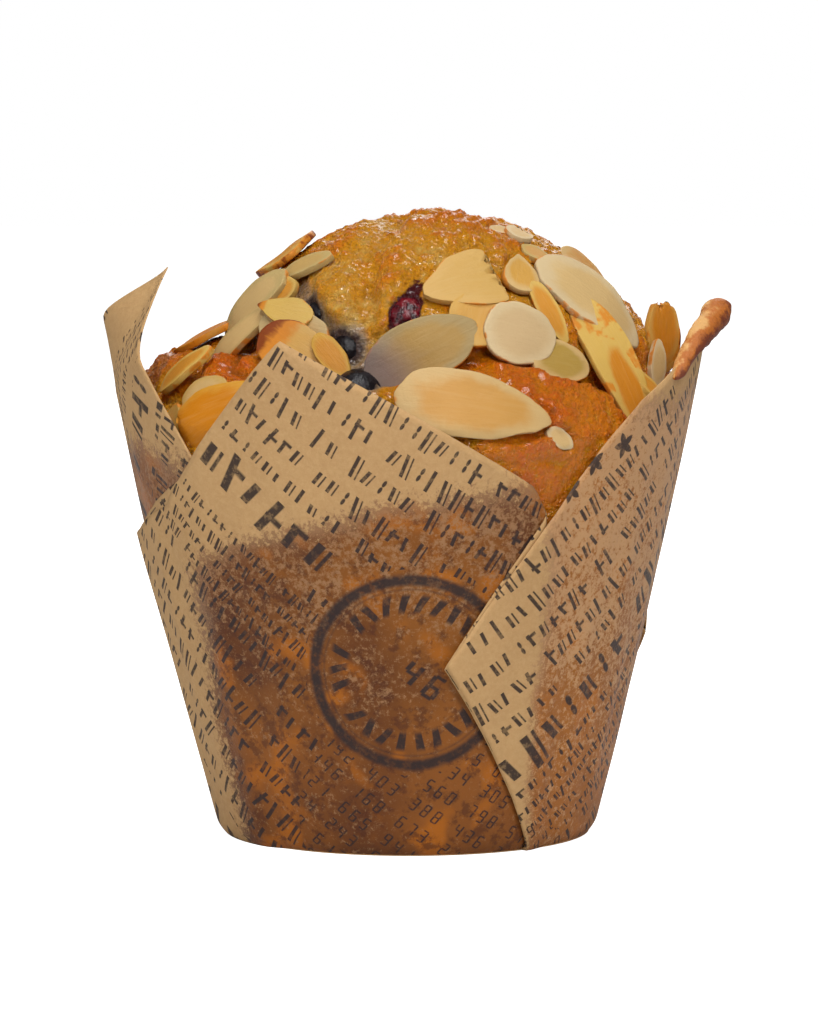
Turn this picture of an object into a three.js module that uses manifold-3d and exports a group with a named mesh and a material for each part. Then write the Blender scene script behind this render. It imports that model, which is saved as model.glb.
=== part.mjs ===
// A bakery muffin in a folded square of printed greaseproof paper.
// Millimetres. +Z is up, +X is to the right and the front faces -Y.
// Azimuths are in degrees, 0 at the front and growing to the right.
// The origin is the middle of the underside, which rests on the table.
import * as THREE from "three";
import { mergeVertices } from "three/addons/utils/BufferGeometryUtils.js";
import Module from "manifold-3d";

const wasm = await Module();
wasm.setup();

// Driving dimensions of the paper cup
const BASE_RADIUS = 25;
const WALL_FLARE = 0.27;
const WALL_CURL = -0.0006;
const CUP_LEAN = -0.012;
const BASE_ROUND = 0.8;
const BASE_ROUND_HEIGHT = 2.2;
const PAPER_LAYER = 0.5;
const FLOOR_RADIUS = 24.5;
const GAP = 0.3;

// Driving dimensions of the crumb body
const CRUMB_UNDERSIDE = PAPER_LAYER + GAP;
const WALL_GAP = 0.53;
const SHOULDER_HEIGHT = 51.5;
const SHOULDER_RISE = 14;
const SHOULDER_FLAT = 20;
const DOME_CENTRE = new THREE.Vector3(3, 0, 60);
const DOME_RADII = new THREE.Vector3(27.6, 27.4, 24.4);
const DOME_BLEND = 1.2;

const radians = THREE.MathUtils.degToRad;
const degrees = THREE.MathUtils.radToDeg;
const smooth = THREE.MathUtils.smoothstep;
const { clamp, lerp } = THREE.MathUtils;

// A point at an azimuth, a distance from the leaning axis and a height
function around(azimuth, radius, height) {
  const turn = radians(azimuth);
  return new THREE.Vector3(
    radius * Math.sin(turn) + CUP_LEAN * height,
    -radius * Math.cos(turn),
    height,
  );
}

// Inner radius of the cup's plain wall
function wallRadius(height) {
  const crease = Math.max(0, 1 - height / BASE_ROUND_HEIGHT);
  return (
    BASE_RADIUS +
    WALL_FLARE * height +
    WALL_CURL * height * height -
    BASE_ROUND * crease * crease
  );
}

// Closed mesh to solid: shared vertices merged and collapsed triangles dropped
function toSolid(geometry) {
  const bare = geometry.clone();
  bare.deleteAttribute("normal");
  bare.deleteAttribute("uv");
  const merged = mergeVertices(bare, 1e-4);
  const source = merged.index.array;
  const kept = [];
  for (let i = 0; i < source.length; i += 3) {
    const [a, b, c] = [source[i], source[i + 1], source[i + 2]];
    if (a !== b && b !== c && c !== a) kept.push(a, b, c);
  }
  return new wasm.Manifold(
    new wasm.Mesh({
      numProp: 3,
      vertProperties: merged.attributes.position.array,
      triVerts: new Uint32Array(kept),
    }),
  );
}

function toGeometry(solid) {
  const mesh = solid.getMesh();
  const geometry = new THREE.BufferGeometry();
  geometry.setAttribute("position", new THREE.BufferAttribute(mesh.vertProperties, 3));
  geometry.setIndex(new THREE.BufferAttribute(mesh.triVerts, 1));
  return geometry;
}

// The biggest body of a solid, without scraps that a cut leaves
function largestBody(solid) {
  const bodies = solid.decompose();
  return bodies.reduce((best, body) => (body.volume() > best.volume() ? body : best));
}

// A closed sheet from an outside face and an inside face over the same grid
function sheetSolid(columns, rows, outside, inside) {
  const points = [];
  const index = [];
  const stride = columns + 1;
  for (const face of [outside, inside]) {
    for (let j = 0; j <= rows; j += 1) {
      for (let i = 0; i <= columns; i += 1) points.push(...face(i / columns, j / rows).toArray());
    }
  }
  const far = stride * (rows + 1);
  const quad = (a, b, c, d) => index.push(a, b, c, a, c, d);
  for (let j = 0; j < rows; j += 1) {
    for (let i = 0; i < columns; i += 1) {
      const a = j * stride + i;
      quad(a, a + 1, a + 1 + stride, a + stride);
      quad(far + a, far + a + stride, far + a + 1 + stride, far + a + 1);
    }
  }
  for (let i = 0; i < columns; i += 1) {
    const top = rows * stride + i;
    quad(i, far + i, far + i + 1, i + 1);
    quad(top, top + 1, far + top + 1, far + top);
  }
  for (let j = 0; j < rows; j += 1) {
    const left = j * stride;
    const right = left + columns;
    quad(left, left + stride, far + left + stride, far + left);
    quad(right, far + right, far + right + stride, right + stride);
  }
  const geometry = new THREE.BufferGeometry();
  geometry.setAttribute("position", new THREE.Float32BufferAttribute(points, 3));
  geometry.setIndex(index);
  return toSolid(geometry);
}

// Paper cup: a square sheet pressed round the cake. Each side of the cup ends in
// a corner of the sheet that stands up as a petal, and between two sides the
// spare paper lies flat as a Z-pleat. A pleat has an outer fold, where the side
// on its right turns under, and an inner fold, where the side on its left turns
// back. A fold is given by its azimuth at the base, then its azimuth and height
// at the sheet's edge.
const PLEATS = [
  { outer: [38, 8.5, 25.8], inner: [38, 30.5, 46] },
  { outer: [128, 98, 26.5], inner: [128, 120, 46] },
  { outer: [215, 186, 27], inner: [215, 207, 46] },
  { outer: [280, 277, 41], inner: [310, 314, 51.5] },
];

// The sheet's edge over each side, from its left pleat to its right one
const SIDES = [
  { name: "right", pleat: 0, edge: [[30, 44.5], [42.3, 54.1], [52.3, 60.3], [79, 70.2], [98, 61]] },
  { name: "back", pleat: 1, edge: [[120, 45], [142, 57], [168, 70], [190, 58]] },
  { name: "left", pleat: 2, edge: [[207, 45], [232, 56], [262, 67.5], [287, 77.5], [303, 63.5]] },
  { name: "front", pleat: 3, edge: [[302, 46.2], [313, 52.3], [337, 68.8], [387, 49.6]] },
];

const OUTER_LIFT = 1.0;
const MIDDLE_LIFT = 0.5;
const INNER_LIFT = 0.6;
const PLEAT_SINK = 0.25;
const LIFT_FADE = 9;
const LEFT_CREASE_HEIGHT = 62;
const LEFT_CREASE_SLOPE = 0.18;
const LEFT_TIP_AZIMUTH = 287;
const LEFT_TIP_BEND = 0.78;
const LEFT_BEND_FROM = [266, 287];
const LEFT_BEND_TO = [304, 318];
const CREASE_SOFTNESS = 3;

// A petal's tip that leans in over the crumb, past a slanting crease
function petalBend(azimuth, height) {
  const side = ((azimuth % 360) + 360) % 360;
  const crease = LEFT_CREASE_HEIGHT + LEFT_CREASE_SLOPE * (side - LEFT_TIP_AZIMUTH);
  const beyond = Math.max(0, height - crease);
  const share = smooth(side, ...LEFT_BEND_FROM) * (1 - smooth(side, ...LEFT_BEND_TO));
  return (-LEFT_TIP_BEND * share * beyond * beyond) / (beyond + CREASE_SOFTNESS);
}

function paperPoint(azimuth, height, stand) {
  return around(azimuth, wallRadius(height) + petalBend(azimuth, height) + stand, height);
}

const foldAzimuth = ([base, top, height], z) => lerp(base, top, z / height);

// Point of the sheet's edge at a share u of the way along a side
const MM_PER_DEGREE = 0.6;
function edgePoint(points, u) {
  const lengths = [0];
  for (let i = 1; i < points.length; i += 1) {
    const [a, b] = [points[i - 1], points[i]];
    lengths.push(lengths[i - 1] + Math.hypot(MM_PER_DEGREE * (b[0] - a[0]), b[1] - a[1]));
  }
  const reach = u * lengths[lengths.length - 1];
  let i = 1;
  while (i < points.length - 1 && lengths[i] < reach) i += 1;
  const t = (reach - lengths[i - 1]) / (lengths[i] - lengths[i - 1]);
  return [lerp(points[i - 1][0], points[i][0], t), lerp(points[i - 1][1], points[i][1], t)];
}

// Coons patch over azimuth and height, from its base arc, edge and two folds
function patchPoint(baseFrom, baseTo, edge, u, v) {
  const top = edgePoint(edge, u);
  const [first, last] = [edge[0], edge[edge.length - 1]];
  const side = [
    lerp(lerp(baseFrom, first[0], v), lerp(baseTo, last[0], v), u),
    lerp(first[1] * v, last[1] * v, u),
  ];
  const corner = [
    lerp(lerp(baseFrom, baseTo, u), lerp(first[0], last[0], u), v),
    lerp(0, lerp(first[1], last[1], u), v),
  ];
  const rise = [lerp(lerp(baseFrom, baseTo, u), top[0], v), lerp(0, top[1], v)];
  return [rise[0] + side[0] - corner[0], rise[1] + side[1] - corner[1]];
}

// Rows stand closer together near the rounded base
const FIRST_ROW_SHARE = 0.3;
const rowShare = (t) => t * (FIRST_ROW_SHARE + (1 - FIRST_ROW_SHARE) * t);

const SIDE_COLUMNS = 14;
const SIDE_ROWS = 6;
const PLEAT_COLUMNS = 4;
const PLEAT_ROWS = 5;

// One side of the cup, from its outer fold on the left to its inner fold
function paperSide({ pleat, edge }, grow) {
  const left = PLEATS[pleat];
  const next = PLEATS[(pleat + 1) % PLEATS.length];
  const turn = next.outer[0] < left.outer[0] ? 360 : 0;
  const right = [next.inner[0] + turn, next.inner[1] + turn, next.inner[2]];
  const whole = [[left.outer[1], left.outer[2]], ...edge, [right[1], right[2]]];
  const grown = whole.map(([azimuth, height]) => [azimuth, height + grow]);
  const at = (u, v, outside) => {
    const [azimuth, height] = patchPoint(left.outer[0], right[0], grown, u, v);
    const inner = foldAzimuth(left.inner, height);
    const over = 1 - smooth(azimuth, inner, inner + LIFT_FADE);
    const stand = outside
      ? PAPER_LAYER + OUTER_LIFT * over + grow
      : INNER_LIFT * over - grow;
    return paperPoint(azimuth, height, stand);
  };
  return sheetSolid(
    SIDE_COLUMNS,
    SIDE_ROWS,
    (u, v) => at(u, rowShare(v), true),
    (u, v) => at(u, rowShare(v), false),
  );
}

// The hidden middle layer of a pleat, between its two folds
function paperPleat({ outer, inner }, grow) {
  const edge = [[outer[1], outer[2] + grow], [inner[1], inner[2] + grow]];
  const at = (u, v, stand) => {
    const [azimuth, height] = patchPoint(outer[0], inner[0], edge, u, v);
    return paperPoint(azimuth, height, stand);
  };
  return sheetSolid(
    PLEAT_COLUMNS,
    PLEAT_ROWS,
    (u, v) => at(u, rowShare(v), PAPER_LAYER + MIDDLE_LIFT + grow),
    (u, v) => at(u, rowShare(v), PLEAT_SINK - grow),
  );
}

const FLOOR_SEGMENTS = 60;

// The whole sheet, grown all round when it is used to cut room for itself
function paperCase(grow) {
  const floor = new THREE.CylinderGeometry(FLOOR_RADIUS, FLOOR_RADIUS, PAPER_LAYER, FLOOR_SEGMENTS);
  floor.rotateX(Math.PI / 2);
  floor.translate(0, 0, PAPER_LAYER / 2);
  const sides = SIDES.map((side) => paperSide(side, grow));
  const pleats = PLEATS.map((pleat) => paperPleat(pleat, grow));
  return [...sides, ...pleats].reduce((sum, piece) => sum.add(piece), toSolid(floor));
}

// Crumb body: the cake fills the cup, rises over it as a rounded shoulder and
// breaks open round a dome. Both are one level set, and its zero is the crust.
const LOBES = [
  { name: "front right shoulder", at: [15, -24, 58.5], reach: 11, swell: 2.6 },
  { name: "right shoulder", at: [31, -2, 62.5], reach: 9, swell: 4.4 },
  { name: "left shoulder", at: [-30, -1, 61.5], reach: 9, swell: 4.2 },
  { name: "left front shoulder", at: [-22, -18, 58], reach: 8, swell: 1.6 },
  { name: "back shoulder", at: [6, 30, 58], reach: 12, swell: 2.4 },
  { name: "left half of the dome", at: [-11, -20, 73], reach: 6, swell: 1.2 },
  { name: "fold between the halves", at: [-1.5, -20, 75], reach: 4.5, swell: 0.9 },
  { name: "right half of the dome", at: [8, -8, 80], reach: 8, swell: 1.2 },
  { name: "right flank of the dome", at: [24, -8, 72], reach: 8, swell: 1.0 },
  { name: "crust knob", at: [-23.5, -15, 64], reach: 4, swell: 2.2 },
];

// Cracks run as polylines over the crust, [azimuth, height] from end to end
const CRACKS = [
  {
    path: [[-6.6, 84.2], [-12.6, 82], [-17, 80.2], [-16, 78], [-12, 72], [-13.2, 67.8]],
    width: 1.7, depth: 2.4,
  },
  { path: [[-60, 75.3], [-51.7, 77.4], [-44, 79.3], [-30, 80], [-18.4, 79.9]], width: 1.4, depth: 1.0 },
  { path: [[-50, 75], [-38.4, 72.7], [-29.5, 70.4], [-16.4, 66.8], [-9, 65.5]], width: 1.8, depth: 2.4 },
  { path: [[-13.2, 67.8], [-8.4, 67.2], [-4.6, 68.9], [0, 71.8], [8.4, 77.4]], width: 1.6, depth: 1.9 },
  {
    path: [[8, 63], [18, 65.6], [24, 67], [35, 66.3], [48, 63.8], [58, 61.5], [66, 60]],
    width: 1.9, depth: 2.6,
  },
  { path: [[66, 60], [84, 62], [104, 66], [128, 65], [150, 68]], width: 2.2, depth: 2.4 },
  { path: [[150, 68], [176, 66], [204, 68], [232, 65], [262, 67]], width: 2.2, depth: 2.2 },
  { path: [[262, 67], [283, 68.5], [297, 67.5], [308, 63.5], [320, 63]], width: 1.8, depth: 2.2 },
  { path: [[292, 67], [296, 63.5], [300, 60], [305, 57.5]], width: 1.5, depth: 1.7 },
  { path: [[-5, 84], [60, 83.5], [140, 80], [168, 73], [176, 66]], width: 1.8, depth: 1.2 },
];
// The relief starts where the crust comes free of the paper
const FREE_FROM = 45;
const FREE_TO = 54;

// The lowest of two level sets, with a soft step where they meet
function blend(a, b, softness) {
  const h = clamp(0.5 + (0.5 * (b - a)) / softness, 0, 1);
  return lerp(b, a, h) - softness * h * (1 - h);
}

const fromAxis = (p) => Math.hypot(p.x - CUP_LEAN * p.z, p.y);

// Below 0 inside the cup, which the left petal's bent tip narrows from a little
// under its crease
const BEND_MARGIN = 8;
function cupWall(p) {
  const azimuth = degrees(Math.atan2(p.x - CUP_LEAN * p.z, -p.y));
  const bend = petalBend(azimuth, p.z + BEND_MARGIN);
  return fromAxis(p) - (wallRadius(p.z) + bend - WALL_GAP);
}

function plainCrumb(p) {
  const radius = fromAxis(p);
  const reach = wallRadius(SHOULDER_HEIGHT) - WALL_GAP - SHOULDER_FLAT;
  const across = Math.max(0, radius - SHOULDER_FLAT) / reach;
  const up = Math.max(0, p.z - SHOULDER_HEIGHT) / SHOULDER_RISE;
  const shoulder = (Math.hypot(across, up) - 1) * SHOULDER_RISE;
  const offset = p.clone().sub(DOME_CENTRE).divide(DOME_RADII);
  const dome = (offset.length() - 1) * DOME_RADII.z;
  return blend(p.z > SHOULDER_HEIGHT ? shoulder : cupWall(p), dome, DOME_BLEND);
}

// Where a level set is crossed on the way from an inside point
function crossing(level, from, direction) {
  let [near, far] = [0, 60];
  for (let step = 0; step < 26; step += 1) {
    const middle = (near + far) / 2;
    const p = from.clone().addScaledVector(direction, middle);
    if (level(p) < 0) near = middle;
    else far = middle;
  }
  return from.clone().addScaledVector(direction, near);
}

function outFromAxis(level, azimuth, height) {
  return crossing(level, around(azimuth, 0, height), around(azimuth, 1, 0));
}

const crackLines = CRACKS.map(({ path, width, depth }) => ({
  width,
  depth,
  points: path.map(([azimuth, height]) => outFromAxis(plainCrumb, azimuth, height)),
}));

const lineSegment = new THREE.Line3();
const closest = new THREE.Vector3();

function crackDepth(p) {
  let cut = 0;
  for (const { width, depth, points } of crackLines) {
    let nearest = Infinity;
    for (let i = 1; i < points.length; i += 1) {
      lineSegment.set(points[i - 1], points[i]);
      lineSegment.closestPointToPoint(p, true, closest);
      nearest = Math.min(nearest, closest.distanceTo(p));
    }
    cut = Math.max(cut, depth * Math.exp(-((nearest / width) ** 2)));
  }
  return cut;
}

function crumb(p) {
  let relief = crackDepth(p);
  for (const { at, reach, swell } of LOBES) {
    const away = p.distanceTo(closest.set(...at)) / reach;
    relief -= swell * Math.exp(-away * away);
  }
  const free = smooth(p.z, FREE_FROM, FREE_TO);
  return Math.max(plainCrumb(p) + free * relief, cupWall(p));
}

const CRUMB_COLUMNS = 48;
const WALL_HEIGHTS = [CRUMB_UNDERSIDE, 3.2, 24, 46];
const CROWN_ROWS = 15;
const CROWN_CORE = 48;
const FIRST_CROWN_ANGLE = 92;

// Rings of points from the underside to the top, closed by two poles
function crumbBody() {
  const rings = WALL_HEIGHTS.map((height) =>
    [...Array(CRUMB_COLUMNS).keys()].map((i) =>
      outFromAxis(plainCrumb, (i * 360) / CRUMB_COLUMNS, height),
    ),
  );
  const core = new THREE.Vector3(0, 0, CROWN_CORE);
  for (let j = 0; j < CROWN_ROWS; j += 1) {
    const fall = radians(FIRST_CROWN_ANGLE * (1 - j / CROWN_ROWS));
    rings.push(
      [...Array(CRUMB_COLUMNS).keys()].map((i) => {
        const out = around((i * 360) / CRUMB_COLUMNS, Math.sin(fall), 0);
        out.z = Math.cos(fall);
        return crossing(crumb, core, out);
      }),
    );
  }
  const points = rings.flat();
  const index = [];
  for (let j = 1; j < rings.length; j += 1) {
    for (let i = 0; i < CRUMB_COLUMNS; i += 1) {
      const [a, b] = [(j - 1) * CRUMB_COLUMNS, j * CRUMB_COLUMNS];
      const next = (i + 1) % CRUMB_COLUMNS;
      index.push(a + i, a + next, b + next, a + i, b + next, b + i);
    }
  }
  const bottom = points.push(new THREE.Vector3(0, 0, CRUMB_UNDERSIDE)) - 1;
  const top = points.push(crossing(crumb, core, new THREE.Vector3(0, 0, 1))) - 1;
  const last = (rings.length - 1) * CRUMB_COLUMNS;
  for (let i = 0; i < CRUMB_COLUMNS; i += 1) {
    const next = (i + 1) % CRUMB_COLUMNS;
    index.push(bottom, next, i, top, last + i, last + next);
  }
  const geometry = new THREE.BufferGeometry().setFromPoints(points);
  geometry.setIndex(index);
  return toSolid(geometry);
}

// Outward direction of the crust at a point
const SLOPE_STEP = 0.4;
function crustNormal(p) {
  const slope = (x, y, z) => {
    const move = new THREE.Vector3(x, y, z).multiplyScalar(SLOPE_STEP);
    return plainCrumb(p.clone().add(move)) - plainCrumb(p.clone().sub(move));
  };
  return new THREE.Vector3(slope(1, 0, 0), slope(0, 1, 0), slope(0, 0, 1)).normalize();
}

const facing = (azimuth, rise) => {
  const out = around(azimuth, Math.cos(radians(rise)), 0);
  out.z = Math.sin(radians(rise));
  return out;
};

// Sliced almonds. Each has the azimuth and height where its middle meets the
// crust, its length and width, its turn in its own plane (0 level, growing
// anticlockwise seen from outside), how far it is lifted off the crust and,
// where it doesn't lie flat on it, the azimuth and rise that it faces.
// snap is the share of its length broken off at one end, point how far the
// same end narrows.
const ALMOND_THICKNESS = 1.1;
const ALMONDS = [
  { name: "oval_grey", at: [5.5, 66.5], size: [16.2, 9], turn: 27, lift: 1.1, face: [4, 14] },
  {
    name: "oval_front", at: [15, 58.9], size: [20.8, 8.8],
    turn: -10, lift: 2.3, face: [16, 20], point: 0.35,
  },
  { name: "chip_front", at: [33.5, 55.6], size: [4, 2.6], turn: -35, lift: 0.3 },
  {
    name: "triangle_dome", at: [22.5, 75.6], size: [12.5, 9],
    turn: 15, lift: 0.3, snap: 0.18, point: -0.4,
  },
  { name: "patch_dome", at: [22, 71], size: [8.5, 7.5], turn: 70, lift: 0.3 },
  { name: "pale_round", at: [33, 68.6], size: [10.4, 8.4], turn: -12, lift: 1.0, face: [26, 16] },
  { name: "pale_under", at: [43.5, 65], size: [9.5, 6], turn: -12, lift: 0.7, face: [38, 22] },
  { name: "long_crossing", at: [58.5, 64.5], size: [21.4, 6.8], turn: -71, lift: 2.8, face: [30, 22] },
  { name: "wide_white", at: [63, 72.3], size: [17.8, 9.8], turn: -47, lift: 1.9, face: [48, 34] },
  { name: "orange_edged", at: [85.5, 76], size: [10, 7.5], turn: -40, lift: 0.3, face: [66, 40] },
  { name: "sliver_standing", at: [44.5, 71.3], size: [9.4, 2.8], turn: -62, lift: 0.8, face: [8, 14] },
  { name: "wedge_top", at: [42, 76.3], size: [7, 4.6], turn: 66, lift: 0.6, point: 0.5 },
  { name: "chunk_top", at: [61, 80.9], size: [4.6, 3.8], turn: 12, lift: 0.8, snap: 0.3 },
  { name: "chip_top", at: [56, 81.6], size: [4, 2.2], turn: -14, lift: 0.3 },
  { name: "chip_side", at: [57, 78.5], size: [4.8, 3.4], turn: -50, lift: 0.4 },
  {
    name: "orange_right", at: [85, 66.4], size: [10.5, 6],
    turn: 84, lift: 5.0, face: [40, 4], snap: 0.12,
  },
  { name: "pale_right", at: [78, 63], size: [6.5, 2.6], turn: 80, lift: 3.9, face: [40, 10] },
  { name: "pale_behind", at: [66, 59.6], size: [7, 5], turn: -60, lift: 2.6 },
  { name: "slab_left", at: [-90, 77.7], size: [12, 9.6], turn: 0, lift: 1.3, face: [-90, 53] },
  { name: "strip_left", at: [-51, 77.1], size: [9, 4], turn: 34, lift: 0.4 },
  { name: "chunk_left", at: [-52.5, 73.8], size: [4.6, 4], turn: 20, lift: 0.7, face: [-40, 20] },
  { name: "double_upper", at: [-64, 71.4], size: [13.5, 6.4], turn: 48, lift: 1.7, face: [-58, 24] },
  { name: "double_lower", at: [-59.5, 67.1], size: [15, 3.8], turn: 47, lift: 2.6, face: [-52, 24] },
  {
    name: "brown_tip", at: [-41.7, 70.8], size: [8.8, 4],
    turn: -14, lift: 1.7, face: [-28, 34], point: -0.55,
  },
  { name: "pale_wide", at: [-38, 69], size: [11, 6], turn: -8, lift: 0.6, face: [-30, 20] },
  { name: "browned_behind", at: [-32, 65], size: [13.5, 7.5], turn: -30, lift: 1.6, face: [-22, 24] },
  { name: "yellow_small", at: [-20.5, 65.5], size: [7.5, 3.4], turn: -48, lift: 1.3, face: [-16, 20] },
  { name: "shoulder_slab", at: [-84, 65.4], size: [12.5, 9], turn: 88, lift: 3.6, face: [-88, 66] },
  { name: "shoulder_strip", at: [-62, 61.8], size: [9.6, 4.4], turn: 54, lift: 2.8, face: [-60, 40] },
  { name: "wavy_pale", at: [-52, 60.6], size: [8, 4.6], turn: 20, lift: 0.8, face: [-50, 34] },
  {
    name: "orange_large", at: [-43, 57.9], size: [16.5, 9.6],
    turn: 24, lift: 1.2, face: [-38, 34], snap: -0.12,
  },
  { name: "upright_left", at: [-58.5, 54.8], size: [9.5, 4.4], turn: 78, lift: 0.5, face: [-56, 12] },
  { name: "back_long", at: [128, 71], size: [17, 8], turn: 36, lift: 0.6 },
  { name: "back_crossing", at: [152, 62], size: [18, 8], turn: -24, lift: 1.0 },
  { name: "back_middle", at: [186, 74], size: [15, 8], turn: 58, lift: 0.6 },
  { name: "back_low", at: [206, 62.5], size: [16, 7.6], turn: 12, lift: 0.9, point: 0.3 },
  { name: "back_left", at: [236, 72], size: [14, 7], turn: -40, lift: 0.7 },
  { name: "back_right", at: [106, 62], size: [14, 7.4], turn: 30, lift: 0.9 },
  { name: "back_top", at: [170, 81.5], size: [12, 7], turn: 15, lift: 0.5, snap: 0.2 },
];
const ALMOND_SIDES = 12;
const SOCKET_SIDES = 8;
// A socket has fewer sides, so it is spread until its flats clear the slice
const SOCKET_SPREAD = 1 / Math.cos(Math.PI / SOCKET_SIDES);
const ALMOND_EDGE = 0.8;
const ALMOND_BOW = 0.018;

// Outline of a slice at an angle, as shares of half its length and width
function sliceOutline(angle, { snap = 0, point = 0.15 }) {
  const along = Math.cos(angle);
  const across = Math.sin(angle) * (1 - point * along);
  const end = 1 - 2 * Math.abs(snap);
  return [snap < 0 ? Math.max(along, -end) : Math.min(along, end), across];
}

function almondSolid(slice, sides, spread, grow) {
  const { at, size, turn, lift, face } = slice;
  const seat = outFromAxis(plainCrumb, ...at);
  const normal = face ? facing(...face) : crustNormal(seat);
  const level = new THREE.Vector3(0, 0, 1).cross(normal).normalize();
  const upward = normal.clone().cross(level);
  const spin = radians(turn);
  const lengthwise = level.clone().multiplyScalar(Math.cos(spin));
  lengthwise.addScaledVector(upward, Math.sin(spin));
  const crosswise = normal.clone().cross(lengthwise);
  const middle = seat.addScaledVector(crustNormal(seat), lift);
  const half = ALMOND_THICKNESS / 2 + grow;
  const place = (share, angle, height) => {
    const [x, y] = angle === null ? [0, 0] : sliceOutline(angle, slice);
    const along = x * share * ((spread * size[0]) / 2 + grow);
    const across = y * share * ((spread * size[1]) / 2 + grow);
    const bow = ALMOND_BOW * along * along;
    return middle
      .clone()
      .addScaledVector(lengthwise, along)
      .addScaledVector(crosswise, across)
      .addScaledVector(normal, height - bow);
  };
  const angles = [...Array(sides).keys()].map((i) => (i * 2 * Math.PI) / sides);
  const rings = [
    angles.map((angle) => place(ALMOND_EDGE, angle, -half)),
    angles.map((angle) => place(1, angle, 0)),
    angles.map((angle) => place(ALMOND_EDGE, angle, half)),
  ];
  const points = rings.flat();
  const under = points.push(place(0, null, -half)) - 1;
  const over = points.push(place(0, null, half)) - 1;
  const index = [];
  for (let i = 0; i < sides; i += 1) {
    const next = (i + 1) % sides;
    for (const ring of [0, sides]) {
      const far = ring + sides;
      index.push(ring + i, ring + next, far + next, ring + i, far + next, far + i);
    }
    const last = 2 * sides;
    index.push(under, next, i, over, last + i, last + next);
  }
  const geometry = new THREE.BufferGeometry().setFromPoints(points);
  geometry.setIndex(index);
  return toSolid(geometry);
}

// Berries sunk in the crumb: azimuth and height where the middle meets the
// crust, radius, and how deep the middle lies
const BERRIES = [
  { name: "front_dark", at: [-12.3, 63.4], radius: 3.6, depth: 2.6 },
  { name: "left_dark", at: [-36, 72.1], radius: 2.6, depth: 3.0 },
  { name: "seam_dark", at: [-20.5, 67.4], radius: 2.6, depth: 3.0 },
  { name: "burst_red", at: [0.5, 72.3], radius: 3.1, depth: 3.0 },
  { name: "back_dark", at: [166, 68], radius: 4.4, depth: 1.4 },
];

const BERRY_DETAIL = 1;

function berrySolid({ at, radius, depth }, grow) {
  const seat = outFromAxis(plainCrumb, ...at);
  const middle = seat.addScaledVector(crustNormal(seat), -depth);
  const ball = new THREE.IcosahedronGeometry(radius + grow, BERRY_DETAIL);
  ball.translate(...middle.toArray());
  return toSolid(ball);
}

// Batter that ran over the edge of the right petal and baked on it
const DRIP = [
  { at: [65.5, 40.8, 65.0], radii: [2.2, 1.2, 1.3] },
  { at: [69, 41.4, 67.3], radii: [2.7, 1.4, 1.6] },
  { at: [73.2, 42.0, 69.3], radii: [3.0, 1.6, 1.8] },
  { at: [78, 42.7, 70.9], radii: [3.0, 1.9, 1.9] },
];

const DRIP_DETAIL = 2;

function dripSolid() {
  const lumps = DRIP.map(({ at, radii }) => {
    const lump = new THREE.IcosahedronGeometry(1, DRIP_DETAIL);
    lump.scale(...radii);
    lump.rotateZ(radians(at[0]));
    lump.translate(...around(...at).toArray());
    return toSolid(lump);
  });
  return lumps.reduce((sum, lump) => sum.add(lump));
}

const paper = paperCase(0);
const paperRoom = paperCase(GAP);

const toppings = [];
for (const slice of ALMONDS) {
  toppings.push({
    name: `almond_${slice.name}`,
    solid: almondSolid(slice, ALMOND_SIDES, 1, 0),
    room: almondSolid(slice, SOCKET_SIDES, SOCKET_SPREAD, GAP),
    colour: slice.name.includes("orange") ? "#d99a3c" : "#e6cfa0",
    roughness: 0.6,
  });
}
for (const berry of BERRIES) {
  toppings.push({
    name: `berry_${berry.name}`,
    solid: berrySolid(berry, 0),
    room: berrySolid(berry, GAP),
    colour: berry.name === "burst_red" ? "#5c1020" : "#1c1a2c",
    roughness: 0.45,
  });
}

// A piece higher in the list keeps its whole form, and those below give way
toppings.forEach((piece, i) => {
  let solid = piece.solid.subtract(paperRoom);
  for (const above of toppings.slice(0, i)) solid = solid.subtract(above.room);
  piece.solid = largestBody(solid);
});

let body = crumbBody();
for (const { room } of toppings) body = body.subtract(room);
body = largestBody(body);
let drip = dripSolid().subtract(paperRoom);
for (const { room } of toppings) drip = drip.subtract(room);
drip = largestBody(drip);

const group = new THREE.Group();
const pieces = [
  { name: "crumb_body", solid: body, colour: "#c2771c", roughness: 0.75 },
  { name: "paper_case", solid: paper, colour: "#b98f5e", roughness: 0.8 },
  { name: "crust_drip", solid: drip, colour: "#a55a1c", roughness: 0.8 },
  ...toppings,
];
for (const { name, solid, colour, roughness } of pieces) {
  const material = new THREE.MeshStandardMaterial({ color: colour, roughness, metalness: 0 });
  const mesh = new THREE.Mesh(toGeometry(solid), material);
  mesh.name = name;
  group.add(mesh);
}

export default group;
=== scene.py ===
import math

import bmesh
import bpy
import numpy as np
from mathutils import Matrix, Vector, noise


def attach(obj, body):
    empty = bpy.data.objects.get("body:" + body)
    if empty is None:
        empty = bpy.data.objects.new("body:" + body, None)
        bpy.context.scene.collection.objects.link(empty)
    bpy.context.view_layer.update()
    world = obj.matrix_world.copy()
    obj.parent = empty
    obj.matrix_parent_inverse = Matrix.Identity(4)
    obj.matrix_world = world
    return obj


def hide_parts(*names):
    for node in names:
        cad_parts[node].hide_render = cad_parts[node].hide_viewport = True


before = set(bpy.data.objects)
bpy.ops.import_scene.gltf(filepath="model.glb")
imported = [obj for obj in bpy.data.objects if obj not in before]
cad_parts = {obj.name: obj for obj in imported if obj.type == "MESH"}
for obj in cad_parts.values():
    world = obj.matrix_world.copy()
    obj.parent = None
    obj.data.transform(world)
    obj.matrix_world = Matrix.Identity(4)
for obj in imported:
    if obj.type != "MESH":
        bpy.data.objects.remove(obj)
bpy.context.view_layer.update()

# Paper case: one square of unbleached greaseproof paper, printed all over,
# pressed round the cake by a plunger. Its corners stand up as four petals and
# the spare paper between them is laid flat in four Z-pleats, all one way round.
MM = 0.001
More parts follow.
